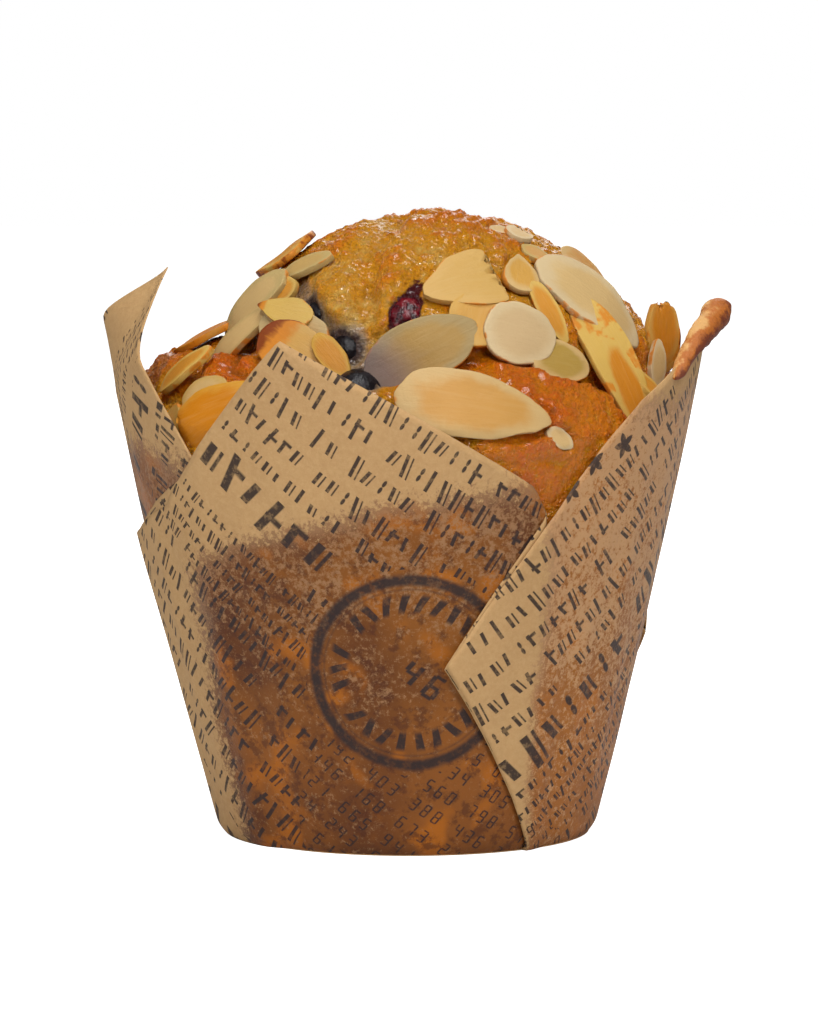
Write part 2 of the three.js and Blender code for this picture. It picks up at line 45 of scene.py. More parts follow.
BASE_RADIUS = 25.0
WALL_FLARE = 0.27
WALL_CURL = -0.0006
CUP_LEAN = -0.012
BASE_ROUND = 0.8
BASE_ROUND_HEIGHT = 2.2
LAYER_LIFT = 0.42
PAPER_STAND = 0.14
PAPER_THICKNESS = 0.14
PLEATS = (
    {"outer": (38, 8.5, 25.8), "inner": (38, 30.5, 46)},
    {"outer": (128, 98, 26.5), "inner": (128, 120, 46)},
    {"outer": (215, 186, 27), "inner": (215, 207, 46)},
    {"outer": (280, 277, 41), "inner": (310, 314, 51.5)},
)
SIDES = (
    {"edge": ((30, 44.5), (42.3, 54.1), (52.3, 60.3), (79, 70.2), (98, 61)), "tip": 79},
    {"edge": ((120, 45), (142, 57), (168, 70), (190, 58)), "tip": 168},
    {"edge": ((207, 45), (232, 56), (262, 67.5), (287, 77.5), (303, 63.5)), "tip": 287},
    {"edge": ((302, 46.2), (313, 52.3), (337, 68.8), (387, 49.6)), "tip": 337},
)
LEFT_TIP = 287
LEFT_BEND_FROM = 266
LEFT_BEND_BACK, LEFT_BEND_TO = 304, 318
LEFT_CREASE_HEIGHT = 62
LEFT_CREASE_SLOPE = 0.18
LEFT_TIP_BEND = 0.78
CREASE_SOFTNESS = 3
SHEET_SIDE = 133.0
RIM_MM_PER_DEGREE = 0.6


def smooth(x, low, high):
    t = np.clip((x - low) / (high - low), 0, 1)
    return t * t * (3 - 2 * t)


def lerp(a, b, t):
    return a + (b - a) * t


def around(azimuth, radius, height):
    turn = np.radians(azimuth)
    return np.stack([
        radius * np.sin(turn) + CUP_LEAN * height,
        -radius * np.cos(turn),
        height + 0 * turn,
    ], -1)


def wall_radius(height):
    crease = np.maximum(0, 1 - height / BASE_ROUND_HEIGHT)
    return BASE_RADIUS + WALL_FLARE * height + WALL_CURL * height**2 - BASE_ROUND * crease**2


def petal_bend(azimuth, height):
    """How far the left petal leans in above its crease, towards the cake."""
    side = np.mod(azimuth, 360)
    crease_height = LEFT_CREASE_HEIGHT + LEFT_CREASE_SLOPE * (side - LEFT_TIP)
    beyond = np.maximum(0, height - crease_height)
    share = smooth(side, LEFT_BEND_FROM, LEFT_TIP)
    share = share * (1 - smooth(side, LEFT_BEND_BACK, LEFT_BEND_TO))
    return -LEFT_TIP_BEND * share * beyond**2 / (beyond + CREASE_SOFTNESS)


def fold_azimuth(fold, height):
    return lerp(fold[0], fold[1], height / fold[2])


def edge_point(points, u):
    """Azimuth and height at a share of the length of an edge."""
    az = np.array([p[0] for p in points], float)
    up = np.array([p[1] for p in points], float)
    steps = np.hypot(RIM_MM_PER_DEGREE * np.diff(az), np.diff(up))
    reach = np.concatenate([[0], np.cumsum(steps)])
    return np.interp(u * reach[-1], reach, az), np.interp(u * reach[-1], reach, up)


def patch_point(base_from, base_to, edge, u, v):
    """Azimuth and height of a patch between its base arc, its folds and its edge."""
    az, up = edge_point(edge, u)
    az0, az1 = edge[0][0], edge[-1][0]
    base = lerp(base_from, base_to, u)
    sides = lerp(lerp(base_from, az0, v), lerp(base_to, az1, v), u)
    corners = lerp(base, lerp(az0, az1, u), v)
    return lerp(base, az, v) + sides - corners, v * up


# soft flutes left by the plunger, and the slow wave of the free petals
FLUTES = (
    {"count": 23, "twist": 0.09, "depth": 0.10},
    {"count": 41, "twist": -0.05, "depth": 0.05},
)
WAVE = {"count": 3, "start": 1.1, "twist": 0.05, "depth": 0.35}


def ripple(azimuth, height):
    turn = np.radians(azimuth)
    flutes = sum(f["depth"] * np.sin(f["count"] * turn + f["twist"] * height) for f in FLUTES)
    wave = WAVE["depth"] * np.sin(WAVE["count"] * turn + WAVE["start"] + WAVE["twist"] * height)
    flutes *= smooth(height, 2, 14) * (1 - 0.5 * smooth(height, 40, 62))
    return flutes + wave * smooth(height, 40, 70)


FLAP_LIFT = 0.5
FLAP_WIDTH = 12
FLAP_HEIGHT = 10


def flap(outer, azimuth, height):
    """The loose corner that stands off where a fold meets the rim."""
    beside = (azimuth - outer[1]) / FLAP_WIDTH
    below = (height - outer[2]) / FLAP_HEIGHT
    return FLAP_LIFT * np.exp(-(beside**2) - below**2)


SHEET_COLUMNS = 96
PLEAT_COLUMNS = 24
SHEET_ROWS = 84
PLEAT_TURN = (0, 0.012, 0.04, 0.1)
FOLD_SHARE = 0.04
LEAST_LOOSE, LOOSE_SHARE = 0.4, 0.3
WALL_COSINE = 0.966
CONE_SINE = 0.26
CONE_RIM = BASE_RADIUS / CONE_SINE
SHEET_CORNERS = ((SHEET_SIDE, 0), (SHEET_SIDE, SHEET_SIDE), (0, SHEET_SIDE), (0, 0))
SHEET_DIAGONALS = (135, 225, 315, 45)
PRINT_SLANTS = (6, 0, 6, 3)


def sheet_place(side, azimuth, height):
    """Where a point of a side lies on the flat square: along the edge, and in from it."""
    turn = (azimuth - SIDES[side]["tip"]) * CONE_SINE
    reach = CONE_RIM + height / WALL_COSINE
    tip_height = max(p[1] for p in SIDES[side]["edge"])
    across = reach * np.sin(np.radians(turn))
    down = CONE_RIM + tip_height / WALL_COSINE - reach * np.cos(np.radians(turn))
    corner = SHEET_CORNERS[side]
    spin = math.radians(SHEET_DIAGONALS[side] + PRINT_SLANTS[side])
    # straight down from a tip runs along the square's diagonal
    along = corner[0] + down * math.cos(spin) + across * math.sin(spin)
    inward = corner[1] + down * math.sin(spin) - across * math.cos(spin)
    return along, inward


def grid_shape(bm, columns, rows):
    """A new unit grid in the mesh, with its vertices and their column and row shares."""
    before = len(bm.verts)
    bmesh.ops.create_grid(bm, x_segments=columns, y_segments=rows, size=0.5)
    bm.verts.ensure_lookup_table()
    verts = bm.verts[before:]
    shares = np.array([(v.co.x + 0.5, v.co.y + 0.5) for v in verts])
    return verts, shares


def new_piece(name, bm):
    mesh = bpy.data.meshes.new(name)
    for face in bm.faces:
        face.smooth = True
    bm.to_mesh(mesh)
    bm.free()
    piece = bpy.data.objects.new(name, mesh)
    bpy.context.scene.collection.objects.link(piece)
    return piece


def row_share(t):
    """Rows stand closer at the foot, where the wall turns into the base."""
    return t * (0.3 + 0.7 * t)


# fat has soaked the paper: from how many degrees past each fold, and up to what height
# the fourth side's soak starts well before its fold and darkens the pleat there: partly real grease,
# partly painted shade of the pleat's creases
STAIN_START = ((-9, 7), (-1, 13), (-1, 13), (-24, 9))
STAIN_HEIGHT = ((54, 0.0), (45, 0.0), (45, 0.0), (37, 0.14))
STAIN_FADE = 14
DRIER_SIDE = 0
PLEAT_COVER = 9
SHEET_UNIT = 100.0

bm = bmesh.new()
uv = bm.loops.layers.uv.new("sheet")
grease = bm.verts.layers.float.new("grease")
dry_share = bm.verts.layers.float.new("dry")


def lay_paper(verts, azimuth, height, stand, on_sheet):
    """Put a patch of paper on the wall, and note where it lies on the flat sheet."""
    reach = wall_radius(height) + petal_bend(azimuth, height) + stand + ripple(azimuth, height)
    spots = {}
    for vert, place, along, inward in zip(verts, around(azimuth, reach, height), *on_sheet):
        vert.co = place * MM
        spots[vert] = (along / SHEET_UNIT, inward / SHEET_UNIT)
    for face in {f for vert in verts for f in vert.link_faces}:
        for loop in face.loops:
            loop[uv].uv = spots[loop.vert]


for k, side in enumerate(SIDES):
    left = PLEATS[k]
    following = PLEATS[(k + 1) % 4]
    turn = 360 if following["outer"][0] < left["outer"][0] else 0
    right = tuple(a + turn for a in following["inner"][:2]) + following["inner"][2:]
    edge = ((left["outer"][1], left["outer"][2]),) + side["edge"] + (right[1:],)
    verts, shares = grid_shape(bm, SHEET_COLUMNS, SHEET_ROWS)
    u, v = shares[:, 0], row_share(shares[:, 1])
    az, up = patch_point(left["outer"][0], right[0], edge, u, v)
    inner = fold_azimuth(left["inner"], up)
    over = 1 - smooth(az, inner, inner + PLEAT_COVER)
    stand = PAPER_STAND + 2 * LAYER_LIFT * over + flap(left["outer"], az, up)
    lay_paper(verts, az, up, stand, sheet_place(k, az, up))
    start, end = STAIN_START[k]
    height, climb = STAIN_HEIGHT[k]
    limit = height + climb * (az - side["tip"])
    stain = smooth(az, inner + start, inner + end) * (1 - smooth(up, limit, limit + STAIN_FADE))
    for vert, soaked_share in zip(verts, stain):
        vert[grease] = soaked_share
        vert[dry_share] = 1.0 if k == DRIER_SIDE else 0.0
for k, pleat in enumerate(PLEATS):
    outer, inner = pleat["outer"], pleat["inner"]
    verts, shares = grid_shape(bm, PLEAT_COLUMNS, SHEET_ROWS)
    # columns close up near the two folds, so that the paper turns sharply there
    gathered = PLEAT_TURN + tuple(1 - t for t in reversed(PLEAT_TURN))
    u = np.interp(shares[:, 0], np.linspace(0, 1, len(gathered)), gathered)
    v = row_share(shares[:, 1])
    az, up = patch_point(outer[0], inner[0], (outer[1:], inner[1:]), u, v)
    turned = 2 - smooth(u, 0, FOLD_SHARE) - smooth(u, 1 - FOLD_SHARE, 1)
    loose = lerp(1, LEAST_LOOSE, smooth(u, 0, LOOSE_SHARE))
    stand = PAPER_STAND + LAYER_LIFT * turned + loose * flap(outer, az, up)
    # folded back, so it lies on the sheet as far past the fold as it reaches before it
    unfolded = 2 * fold_azimuth(inner, up) - az + (360 if k == 0 else 0)
    lay_paper(verts, az, up, stand, sheet_place((k + 3) % 4, unfolded, up))
bmesh.ops.remove_doubles(bm, verts=bm.verts, dist=0.02 * MM)
FLOOR_RADIUS = 24.6
FLOOR_LIFT = 0.1
floor_disc = bmesh.ops.create_circle(bm, cap_ends=True, segments=96, radius=FLOOR_RADIUS * MM)
bmesh.ops.translate(bm, verts=floor_disc["verts"], vec=(0, 0, FLOOR_LIFT * MM))
bmesh.ops.recalc_face_normals(bm, faces=bm.faces)
paper_piece = new_piece("folded_paper", bm)
wall = paper_piece.modifiers.new("thickness", "SOLIDIFY")
wall.thickness = PAPER_THICKNESS * MM
wall.offset = 0
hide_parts("paper_case")
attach(paper_piece, "root")


def srgb(red, green, blue):
    """Linear colour of an 8-bit display colour."""
    shares = np.array((red, green, blue)) / 255
    linear = np.where(shares > 0.04045, ((shares + 0.055) / 1.055) ** 2.4, shares / 12.92)
    return (*linear.tolist(), 1.0)


def add(tree, kind, inputs=None, **settings):
    """A node with its settings, and its inputs linked or set."""
    node = tree.nodes.new(kind)
    for key, value in settings.items():
        setattr(node, key, value)
    for key, value in (inputs or {}).items():
        if isinstance(value, bpy.types.NodeSocket):
            tree.links.new(value, node.inputs[key])
        else:
            node.inputs[key].default_value = value
    return node


def calc(tree, operation, *values):
    inputs = dict(enumerate(values))
    return add(tree, "ShaderNodeMath", inputs, operation=operation).outputs[0]


def ramp(tree, value, low, high, start=0.0, end=1.0):
    """A smooth step of a value between two limits."""
    inputs = {"Value": value, "From Min": low, "From Max": high, "To Min": start, "To Max": end}
    return add(tree, "ShaderNodeMapRange", inputs, interpolation_type="SMOOTHSTEP").outputs[0]


def tint(tree, share, first, second):
    inputs = {0: share, 6: first, 7: second}
    return add(tree, "ShaderNodeMix", inputs, data_type="RGBA").outputs[2]


def texture(tree, vector, scale, detail=2.0, roughness=0.5, distortion=0.0):
    inputs = {
        "Vector": vector, "Scale": scale, "Detail": detail,
        "Roughness": roughness, "Distortion": distortion,
    }
    return add(tree, "ShaderNodeTexNoise", inputs).outputs["Fac"]


def random3(tree, vector):
    colour = add(tree, "ShaderNodeTexWhiteNoise", {"Vector": vector}).outputs["Color"]
    return add(tree, "ShaderNodeSeparateColor", {"Color": colour}).outputs


def new_group(name, inputs, outputs):
    """A shader node group with named sockets, its tree, and its two end nodes."""
    tree = bpy.data.node_groups.new(name, "ShaderNodeTree")
    for socket, kind in inputs:
        tree.interface.new_socket(socket, in_out="INPUT", socket_type="NodeSocket" + kind)
    for socket, kind in outputs:
        tree.interface.new_socket(socket, in_out="OUTPUT", socket_type="NodeSocket" + kind)
    given = tree.nodes.new("NodeGroupInput").outputs
    wanted = tree.nodes.new("NodeGroupOutput").inputs
    return tree, given, wanted


def use_group(tree, group, inputs):
    node = tree.nodes.new("ShaderNodeGroup")
    node.node_tree = group
    for key, value in inputs.items():
        if isinstance(value, bpy.types.NodeSocket):
            tree.links.new(value, node.inputs[key])
        else:
            node.inputs[key].default_value = value
    return node.outputs


def new_material(name):
    """A material with its tree, its shader and its object coordinates in millimetres."""
    material = bpy.data.materials.new(name)
    material.use_nodes = True
    tree = material.node_tree
    shader = tree.nodes["Principled BSDF"]
    own = tree.nodes.new("ShaderNodeTexCoord").outputs["Object"]
    scale = add(tree, "ShaderNodeVectorMath", {0: own, "Scale": 1 / MM}, operation="SCALE")
    return material, tree, shader, scale.outputs[0]


def bump(tree, height, strength, distance_mm):
    inputs = {"Height": height, "Strength": strength, "Distance": distance_mm * MM}
    return add(tree, "ShaderNodeBump", inputs).outputs[0]


def bar(tree, value, middle, half):
    """1 within a half width of a middle, with a soft edge."""
    away = calc(tree, "ABSOLUTE", calc(tree, "SUBTRACT", value, middle))
    return ramp(tree, calc(tree, "SUBTRACT", away, half), 0.03, -0.03)


# rows of print: strokes, dots and dashes set in cells, none of them a letter
rows_group, given, wanted = new_group(
    "print_rows",
    [("Sheet", "Vector"), ("Pitch", "Float"), ("Cell", "Float"), ("Weight", "Float")],
    [("Ink", "Float")],
)
t = rows_group
place = add(t, "ShaderNodeSeparateXYZ", {0: given["Sheet"]}).outputs
row_at = calc(t, "DIVIDE", place["Y"], given["Pitch"])
row = calc(t, "FLOOR", row_at)
row_y = calc(t, "SUBTRACT", calc(t, "FRACT", row_at), 0.5)
start = random3(t, add(t, "ShaderNodeCombineXYZ", {0: row, 1: 7.3}).outputs[0])["Red"]
cell_at = calc(t, "ADD", calc(t, "DIVIDE", place["X"], given["Cell"]), calc(t, "MULTIPLY", start, 9))
cell = calc(t, "FLOOR", cell_at)
cell_x = calc(t, "SUBTRACT", calc(t, "FRACT", cell_at), 0.5)
draw = random3(t, add(t, "ShaderNodeCombineXYZ", {0: cell, 1: row, 2: 1.7}).outputs[0])
other = random3(t, add(t, "ShaderNodeCombineXYZ", {0: cell, 1: row, 2: 5.9}).outputs[0])
word = random3(t, add(t, "ShaderNodeCombineXYZ", {
    0: calc(t, "FLOOR", calc(t, "DIVIDE", cell_at, 17)), 1: row, 2: 3.1,
}).outputs[0])
slant = calc(t, "MULTIPLY", calc(t, "SUBTRACT", draw["Red"], 0.35), 0.9)
leaned = calc(t, "SUBTRACT", cell_x, calc(t, "MULTIPLY", slant, row_y))
tall = calc(t, "ADD", 0.22, calc(t, "MULTIPLY", calc(t, "GREATER_THAN", other["Green"], 0.68), 0.13))
shift = calc(t, "MULTIPLY", calc(t, "GREATER_THAN", other["Red"], 0.5), 0.06)
within = calc(t, "LESS_THAN", calc(t, "ABSOLUTE", calc(t, "SUBTRACT", row_y, shift)), tall)
thin = calc(t, "MULTIPLY", given["Weight"], 0.45)
first = bar(t, leaned, -0.17, given["Weight"])
second = calc(t, "MULTIPLY", bar(t, leaned, 0.22, thin), calc(t, "GREATER_THAN", draw["Green"], 0.3))
strokes = calc(t, "MULTIPLY", calc(t, "MAXIMUM", first, second), within)
dash_at = calc(t, "MULTIPLY", calc(t, "SUBTRACT", draw["Green"], 0.5), 0.3)
dash_wide = calc(t, "LESS_THAN", calc(t, "ABSOLUTE", cell_x), 0.36)
dash = calc(t, "MULTIPLY", bar(t, row_y, dash_at, 0.055), dash_wide)
dot_x = calc(t, "POWER", calc(t, "SUBTRACT", cell_x, 0.05), 2)
dot_y = calc(t, "POWER", calc(t, "SUBTRACT", calc(t, "ABSOLUTE", row_y), 0.12), 2)
dots = ramp(t, calc(t, "ADD", dot_x, dot_y), 0.020, 0.008)
is_dash = calc(t, "GREATER_THAN", draw["Blue"], 0.66)
is_dot = calc(t, "GREATER_THAN", draw["Blue"], 0.86)
mark = tint(t, is_dash, strokes, calc(t, "MAXIMUM", dash, calc(t, "MULTIPLY", first, within)))
mark = tint(t, is_dot, mark, dots)
kept = calc(t, "GREATER_THAN", other["Blue"], 0.1)
kept = calc(t, "MULTIPLY", kept, calc(t, "GREATER_THAN", word["Red"], 0.12))
ink = calc(t, "MULTIPLY", mark, kept)
t.links.new(ink, wanted["Ink"])

# rows of plain numbers, made of seven bars that a digit drawn by lot turns on or off
BAR_OFF = (
    ("across", 0.36, (1, 4)), ("across", 0.0, (0, 1, 7)), ("across", -0.36, (1, 4, 7)),
    ("right", 0.18, (5, 6)), ("right", -0.18, (2,)),
    ("left", 0.18, (1, 2, 3, 7)), ("left", -0.18, (1, 3, 4, 5, 7, 9)),
)
digit_group, given, wanted = new_group(
    "number_rows",
    [("Sheet", "Vector"), ("Pitch", "Float"), ("Cell", "Float"), ("Weight", "Float")],
    [("Ink", "Float")],
)
t = digit_group
place = add(t, "ShaderNodeSeparateXYZ", {0: given["Sheet"]}).outputs
row_at = calc(t, "DIVIDE", place["Y"], given["Pitch"])
row = calc(t, "FLOOR", row_at)
up = calc(t, "MULTIPLY", calc(t, "SUBTRACT", calc(t, "FRACT", row_at), 0.5), -1.35)
cell_at = calc(t, "ADD", calc(t, "DIVIDE", place["X"], given["Cell"]), calc(t, "MULTIPLY", up, -0.12))
cell = calc(t, "FLOOR", cell_at)
side = calc(t, "MULTIPLY", calc(t, "SUBTRACT", calc(t, "FRACT", cell_at), 0.5), 1.15)
drawn = random3(t, add(t, "ShaderNodeCombineXYZ", {0: cell, 1: row, 2: 4.3}).outputs[0])
digit = calc(t, "FLOOR", calc(t, "MULTIPLY", drawn["Red"], 10))
number = 0.0
for kind, middle, without in BAR_OFF:
    if kind == "across":
        shape = calc(t, "MULTIPLY", bar(t, up, middle, given["Weight"]), bar(t, side, 0.0, 0.24))
    else:
        stem = calc(t, "MULTIPLY", given["Weight"], 1.8)
        shape = bar(t, side, 0.24 if kind == "right" else -0.24, stem)
        shape = calc(t, "MULTIPLY", shape, bar(t, up, middle, 0.17))
    for value in without:
        differs = calc(t, "GREATER_THAN", calc(t, "ABSOLUTE", calc(t, "SUBTRACT", digit, value)), 0.5)
        shape = calc(t, "MULTIPLY", shape, differs)
    number = calc(t, "MAXIMUM", number, shape)
# every fourth cell stays empty, between one number and the next
in_number = calc(t, "ABSOLUTE", calc(t, "MODULO", cell, 4))
number = calc(t, "MULTIPLY", number, calc(t, "GREATER_THAN", in_number, 0.5))
t.links.new(number, wanted["Ink"])

# a rubber-stamp ring: a bold and a fine circle, short rays and a plain number in the middle
ring_group, given, wanted = new_group(
    "stamp_ring", [("Sheet", "Vector"), ("Middle", "Vector"), ("Radius", "Float")], [("Ink", "Float")]
)
t = ring_group
offset = add(t, "ShaderNodeVectorMath", {0: given["Sheet"], 1: given["Middle"]}, operation="SUBTRACT")
xy = add(t, "ShaderNodeSeparateXYZ", {0: offset.outputs[0]}).outputs
reach = calc(t, "SQRT", calc(t, "ADD", calc(t, "POWER", xy["X"], 2), calc(t, "POWER", xy["Y"], 2)))
share = calc(t, "DIVIDE", reach, given["Radius"])
turn = calc(t, "DIVIDE", calc(t, "ARCTAN2", xy["Y"], xy["X"]), 2 * math.pi)
outer_ring = bar(t, share, 0.95, 0.056)
thin_ring = bar(t, share, 0.855, 0.0)
spoke_at = calc(t, "MULTIPLY", turn, 26)
spoke = calc(t, "FLOOR", spoke_at)
spoke_x = calc(t, "SUBTRACT", calc(t, "FRACT", spoke_at), 0.5)
chance = random3(t, add(t, "ShaderNodeCombineXYZ", {0: spoke, 1: 2.7}).outputs[0])
lean = calc(t, "MULTIPLY", calc(t, "SUBTRACT", chance["Red"], 0.5), 5)
spoke_x = calc(t, "ADD", spoke_x, calc(t, "MULTIPLY", lean, calc(t, "SUBTRACT", share, 0.71)))
spokes = calc(t, "MULTIPLY", bar(t, spoke_x, 0.0, 0.22), bar(t, share, 0.71, 0.09))
spokes = calc(t, "MULTIPLY", spokes, calc(t, "GREATER_THAN", chance["Green"], 0.16))
number_half = (5.4, 2.9, 0)
centred = add(t, "ShaderNodeVectorMath", {0: offset.outputs[0], 1: number_half}, operation="ADD")
digits = {"Sheet": centred.outputs[0], "Pitch": 5.8, "Cell": 3.6, "Weight": 0.06}
number = use_group(t, digit_group, digits)["Ink"]
for axis, half in zip("YX", reversed(number_half[:2])):
    near_middle = calc(t, "LESS_THAN", calc(t, "ABSOLUTE", xy[axis]), half)
    number = calc(t, "MULTIPLY", number, near_middle)
rings = calc(t, "MAXIMUM", outer_ring, calc(t, "MAXIMUM", thin_ring, spokes))
t.links.new(calc(t, "MAXIMUM", rings, number), wanted["Ink"])

# a five-pointed star, by a distance that waves round its middle
star_group, given, wanted = new_group(
    "star_mark", [("Sheet", "Vector"), ("Middle", "Vector"), ("Radius", "Float")], [("Ink", "Float")]
)
t = star_group
offset = add(t, "ShaderNodeVectorMath", {0: given["Sheet"], 1: given["Middle"]}, operation="SUBTRACT")
xy = add(t, "ShaderNodeSeparateXYZ", {0: offset.outputs[0]}).outputs
reach = calc(t, "SQRT", calc(t, "ADD", calc(t, "POWER", xy["X"], 2), calc(t, "POWER", xy["Y"], 2)))
turn = calc(t, "DIVIDE", calc(t, "ARCTAN2", xy["Y"], xy["X"]), 2 * math.pi / 5)
point = calc(t, "ABSOLUTE", calc(t, "SUBTRACT", calc(t, "FRACT", turn), 0.5))
edge = calc(t, "MULTIPLY", given["Radius"], calc(t, "ADD", 0.42, calc(t, "MULTIPLY", point, 1.16)))
t.links.new(ramp(t, calc(t, "SUBTRACT", reach, edge), 0.1, -0.1), wanted["Ink"])

STAMP_AT = sheet_place(3, 361.0, 25.2)
TABLE_AT = sheet_place(3, 364.0, 4.0)
TABLE_RADIUS = 17.0
STAMP_RADIUS = 13.6
STAMP_MARGIN = 0.8
STAR_RADIUS = 1.9
STARS = ((0, 41, 52.5), (0, 35.5, 49), (0, 49.0, 54.5))
BAND_MM = 47.0
HEADLINE_FROM, HEADLINE_TO = 16.0, 24.0
SMALL_FROM, SMALL_TO = 26.0, 36.4

paper, tree, shader, spot = new_material("printed_greaseproof")
sheet_uv = add(tree, "ShaderNodeUVMap", uv_map="sheet").outputs[0]
sheet = {0: sheet_uv, "Scale": SHEET_UNIT}
flat = add(tree, "ShaderNodeVectorMath", sheet, operation="SCALE").outputs[0]
across = add(tree, "ShaderNodeSeparateXYZ", {0: flat}).outputs
# headline and small rows come round once in each band of the sheet
band = calc(tree, "MODULO", calc(tree, "ADD", across["Y"], 4 * BAND_MM), BAND_MM)


def print_of(group, pitch, cell, weight):
    sizes = {"Sheet": flat, "Pitch": pitch, "Cell": cell, "Weight": weight}
    return use_group(tree, group, sizes)["Ink"]


def mark_of(group, middle, radius):
    return use_group(tree, group, {"Sheet": flat, "Middle": (*middle, 0), "Radius": radius})["Ink"]


def zone(low, high):
    above = calc(tree, "GREATER_THAN", band, low)
    return calc(tree, "MULTIPLY", above, calc(tree, "LESS_THAN", band, high))


def distance_from(middle):
    ends = {0: flat, 1: (*middle, 0)}
    return add(tree, "ShaderNodeVectorMath", ends, operation="DISTANCE").outputs["Value"]


def attribute_of(tree, name):
    return add(tree, "ShaderNodeAttribute", attribute_name=name).outputs["Fac"]


headline = zone(HEADLINE_FROM, HEADLINE_TO)
fine = zone(SMALL_FROM, SMALL_TO)
ink = tint(tree, headline, print_of(rows_group, 4.4, 2.05, 0.13), print_of(rows_group, 8.0, 3.9, 0.16))
ink = tint(tree, fine, ink, print_of(rows_group, 2.6, 1.35, 0.15))
in_table = calc(tree, "LESS_THAN", distance_from(TABLE_AT), TABLE_RADIUS)
ink = tint(tree, in_table, ink, print_of(digit_group, 3.2, 1.75, 0.045))
clear = calc(tree, "GREATER_THAN", distance_from(STAMP_AT), STAMP_RADIUS + STAMP_MARGIN)
ink = calc(tree, "MULTIPLY", ink, clear)
ink = calc(tree, "MAXIMUM", ink, mark_of(ring_group, STAMP_AT, STAMP_RADIUS))
for side, azimuth, height in STARS:
    star = mark_of(star_group, sheet_place(side, float(azimuth), height), STAR_RADIUS)
    ink = calc(tree, "MAXIMUM", ink, star)
wear = ramp(tree, texture(tree, spot, 0.9, 4, 0.7), 0.36, 0.52)
ink = calc(tree, "MULTIPLY", ink, calc(tree, "ADD", 0.66, calc(tree, "MULTIPLY", wear, 0.28)))

# grease: dark and amber where the fat soaked through, with dry flecks that thin out downwards
grease_at = attribute_of(tree, "grease")
level = add(tree, "ShaderNodeSeparateXYZ", {0: spot}).outputs["Z"]
broad = calc(tree, "SUBTRACT", texture(tree, spot, 0.045, 3, 0.55), 0.5)
grain = texture(tree, spot, 1.25, 6, 0.78)
specks = calc(tree, "SUBTRACT", grain, 0.5)
depth = calc(tree, "ADD", ramp(tree, level, 50, 8), calc(tree, "MULTIPLY", broad, 0.8))
edge = calc(tree, "ADD", grease_at, calc(tree, "MULTIPLY", broad, 1.1))
edge = calc(tree, "ADD", edge, calc(tree, "MULTIPLY", specks, 1.6))
soak = calc(tree, "MULTIPLY", ramp(tree, edge, 0.3, 0.62), ramp(tree, grease_at, 0.02, 0.3))
tone = texture(tree, spot, 0.05, 3, 0.5)
bare_paper = tint(tree, tone, srgb(170, 130, 84), srgb(200, 160, 108))
fibre = texture(tree, spot, 1.3, 6, 0.8)
bare_paper = tint(tree, ramp(tree, fibre, 0.35, 0.7, 0, 0.3), bare_paper, srgb(214, 178, 128))
soaked = tint(tree, ramp(tree, broad, -0.12, 0.12), srgb(94, 50, 16), srgb(136, 80, 24))
soaked = tint(tree, ramp(tree, depth, 0.75, 1.2, 0, 0.7), soaked, srgb(138, 80, 28))
amber = ramp(tree, texture(tree, spot, 0.15, 2, 0.4), 0.55, 0.68, 0, 0.8)
soaked = tint(tree, amber, soaked, srgb(174, 98, 14))
reddish = ramp(tree, texture(tree, spot, 0.4, 5, 0.7), 0.50, 0.62, 0, 0.65)
soaked = tint(tree, reddish, soaked, srgb(74, 36, 16))
drier = attribute_of(tree, "dry")
soaked = tint(tree, calc(tree, "MULTIPLY", drier, 0.6), soaked, srgb(176, 108, 42))
clouds = calc(tree, "MULTIPLY", calc(tree, "SUBTRACT", texture(tree, spot, 0.12, 3, 0.6), 0.5), 0.25)
dry_limit = calc(tree, "ADD", calc(tree, "ADD", 0.485, clouds), calc(tree, "MULTIPLY", depth, 0.13))
dry_limit = calc(tree, "SUBTRACT", dry_limit, calc(tree, "MULTIPLY", drier, 0.07))
dry = ramp(tree, calc(tree, "SUBTRACT", grain, dry_limit), -0.07, 0.09, 0, 0.85)
flecks = tint(tree, drier, srgb(158, 116, 78), srgb(196, 152, 106))
greasy = tint(tree, dry, soaked, flecks)
front_edge = calc(tree, "MULTIPLY", ramp(tree, edge, 0.3, 0.5), ramp(tree, edge, 0.75, 0.5))
greasy = tint(tree, calc(tree, "MULTIPLY", front_edge, 0.35), greasy, srgb(104, 70, 58))
colour = tint(tree, soak, bare_paper, greasy)
colour = tint(tree, ink, colour, srgb(44, 34, 34))
tree.links.new(colour, shader.inputs["Base Color"])
tree.links.new(ramp(tree, soak, 0, 1, 0.72, 0.5), shader.inputs["Roughness"])
shader.inputs["Specular IOR Level"].default_value = 0.25
creases = calc(tree, "MULTIPLY", texture(tree, spot, 0.22, 3, 0.6), 3.0)
creases = calc(tree, "ADD", texture(tree, spot, 2.5, 3, 0.6), creases)
tree.links.new(bump(tree, creases, 0.5, 0.14), shader.inputs["Normal"])
paper_piece.data.materials.append(paper)
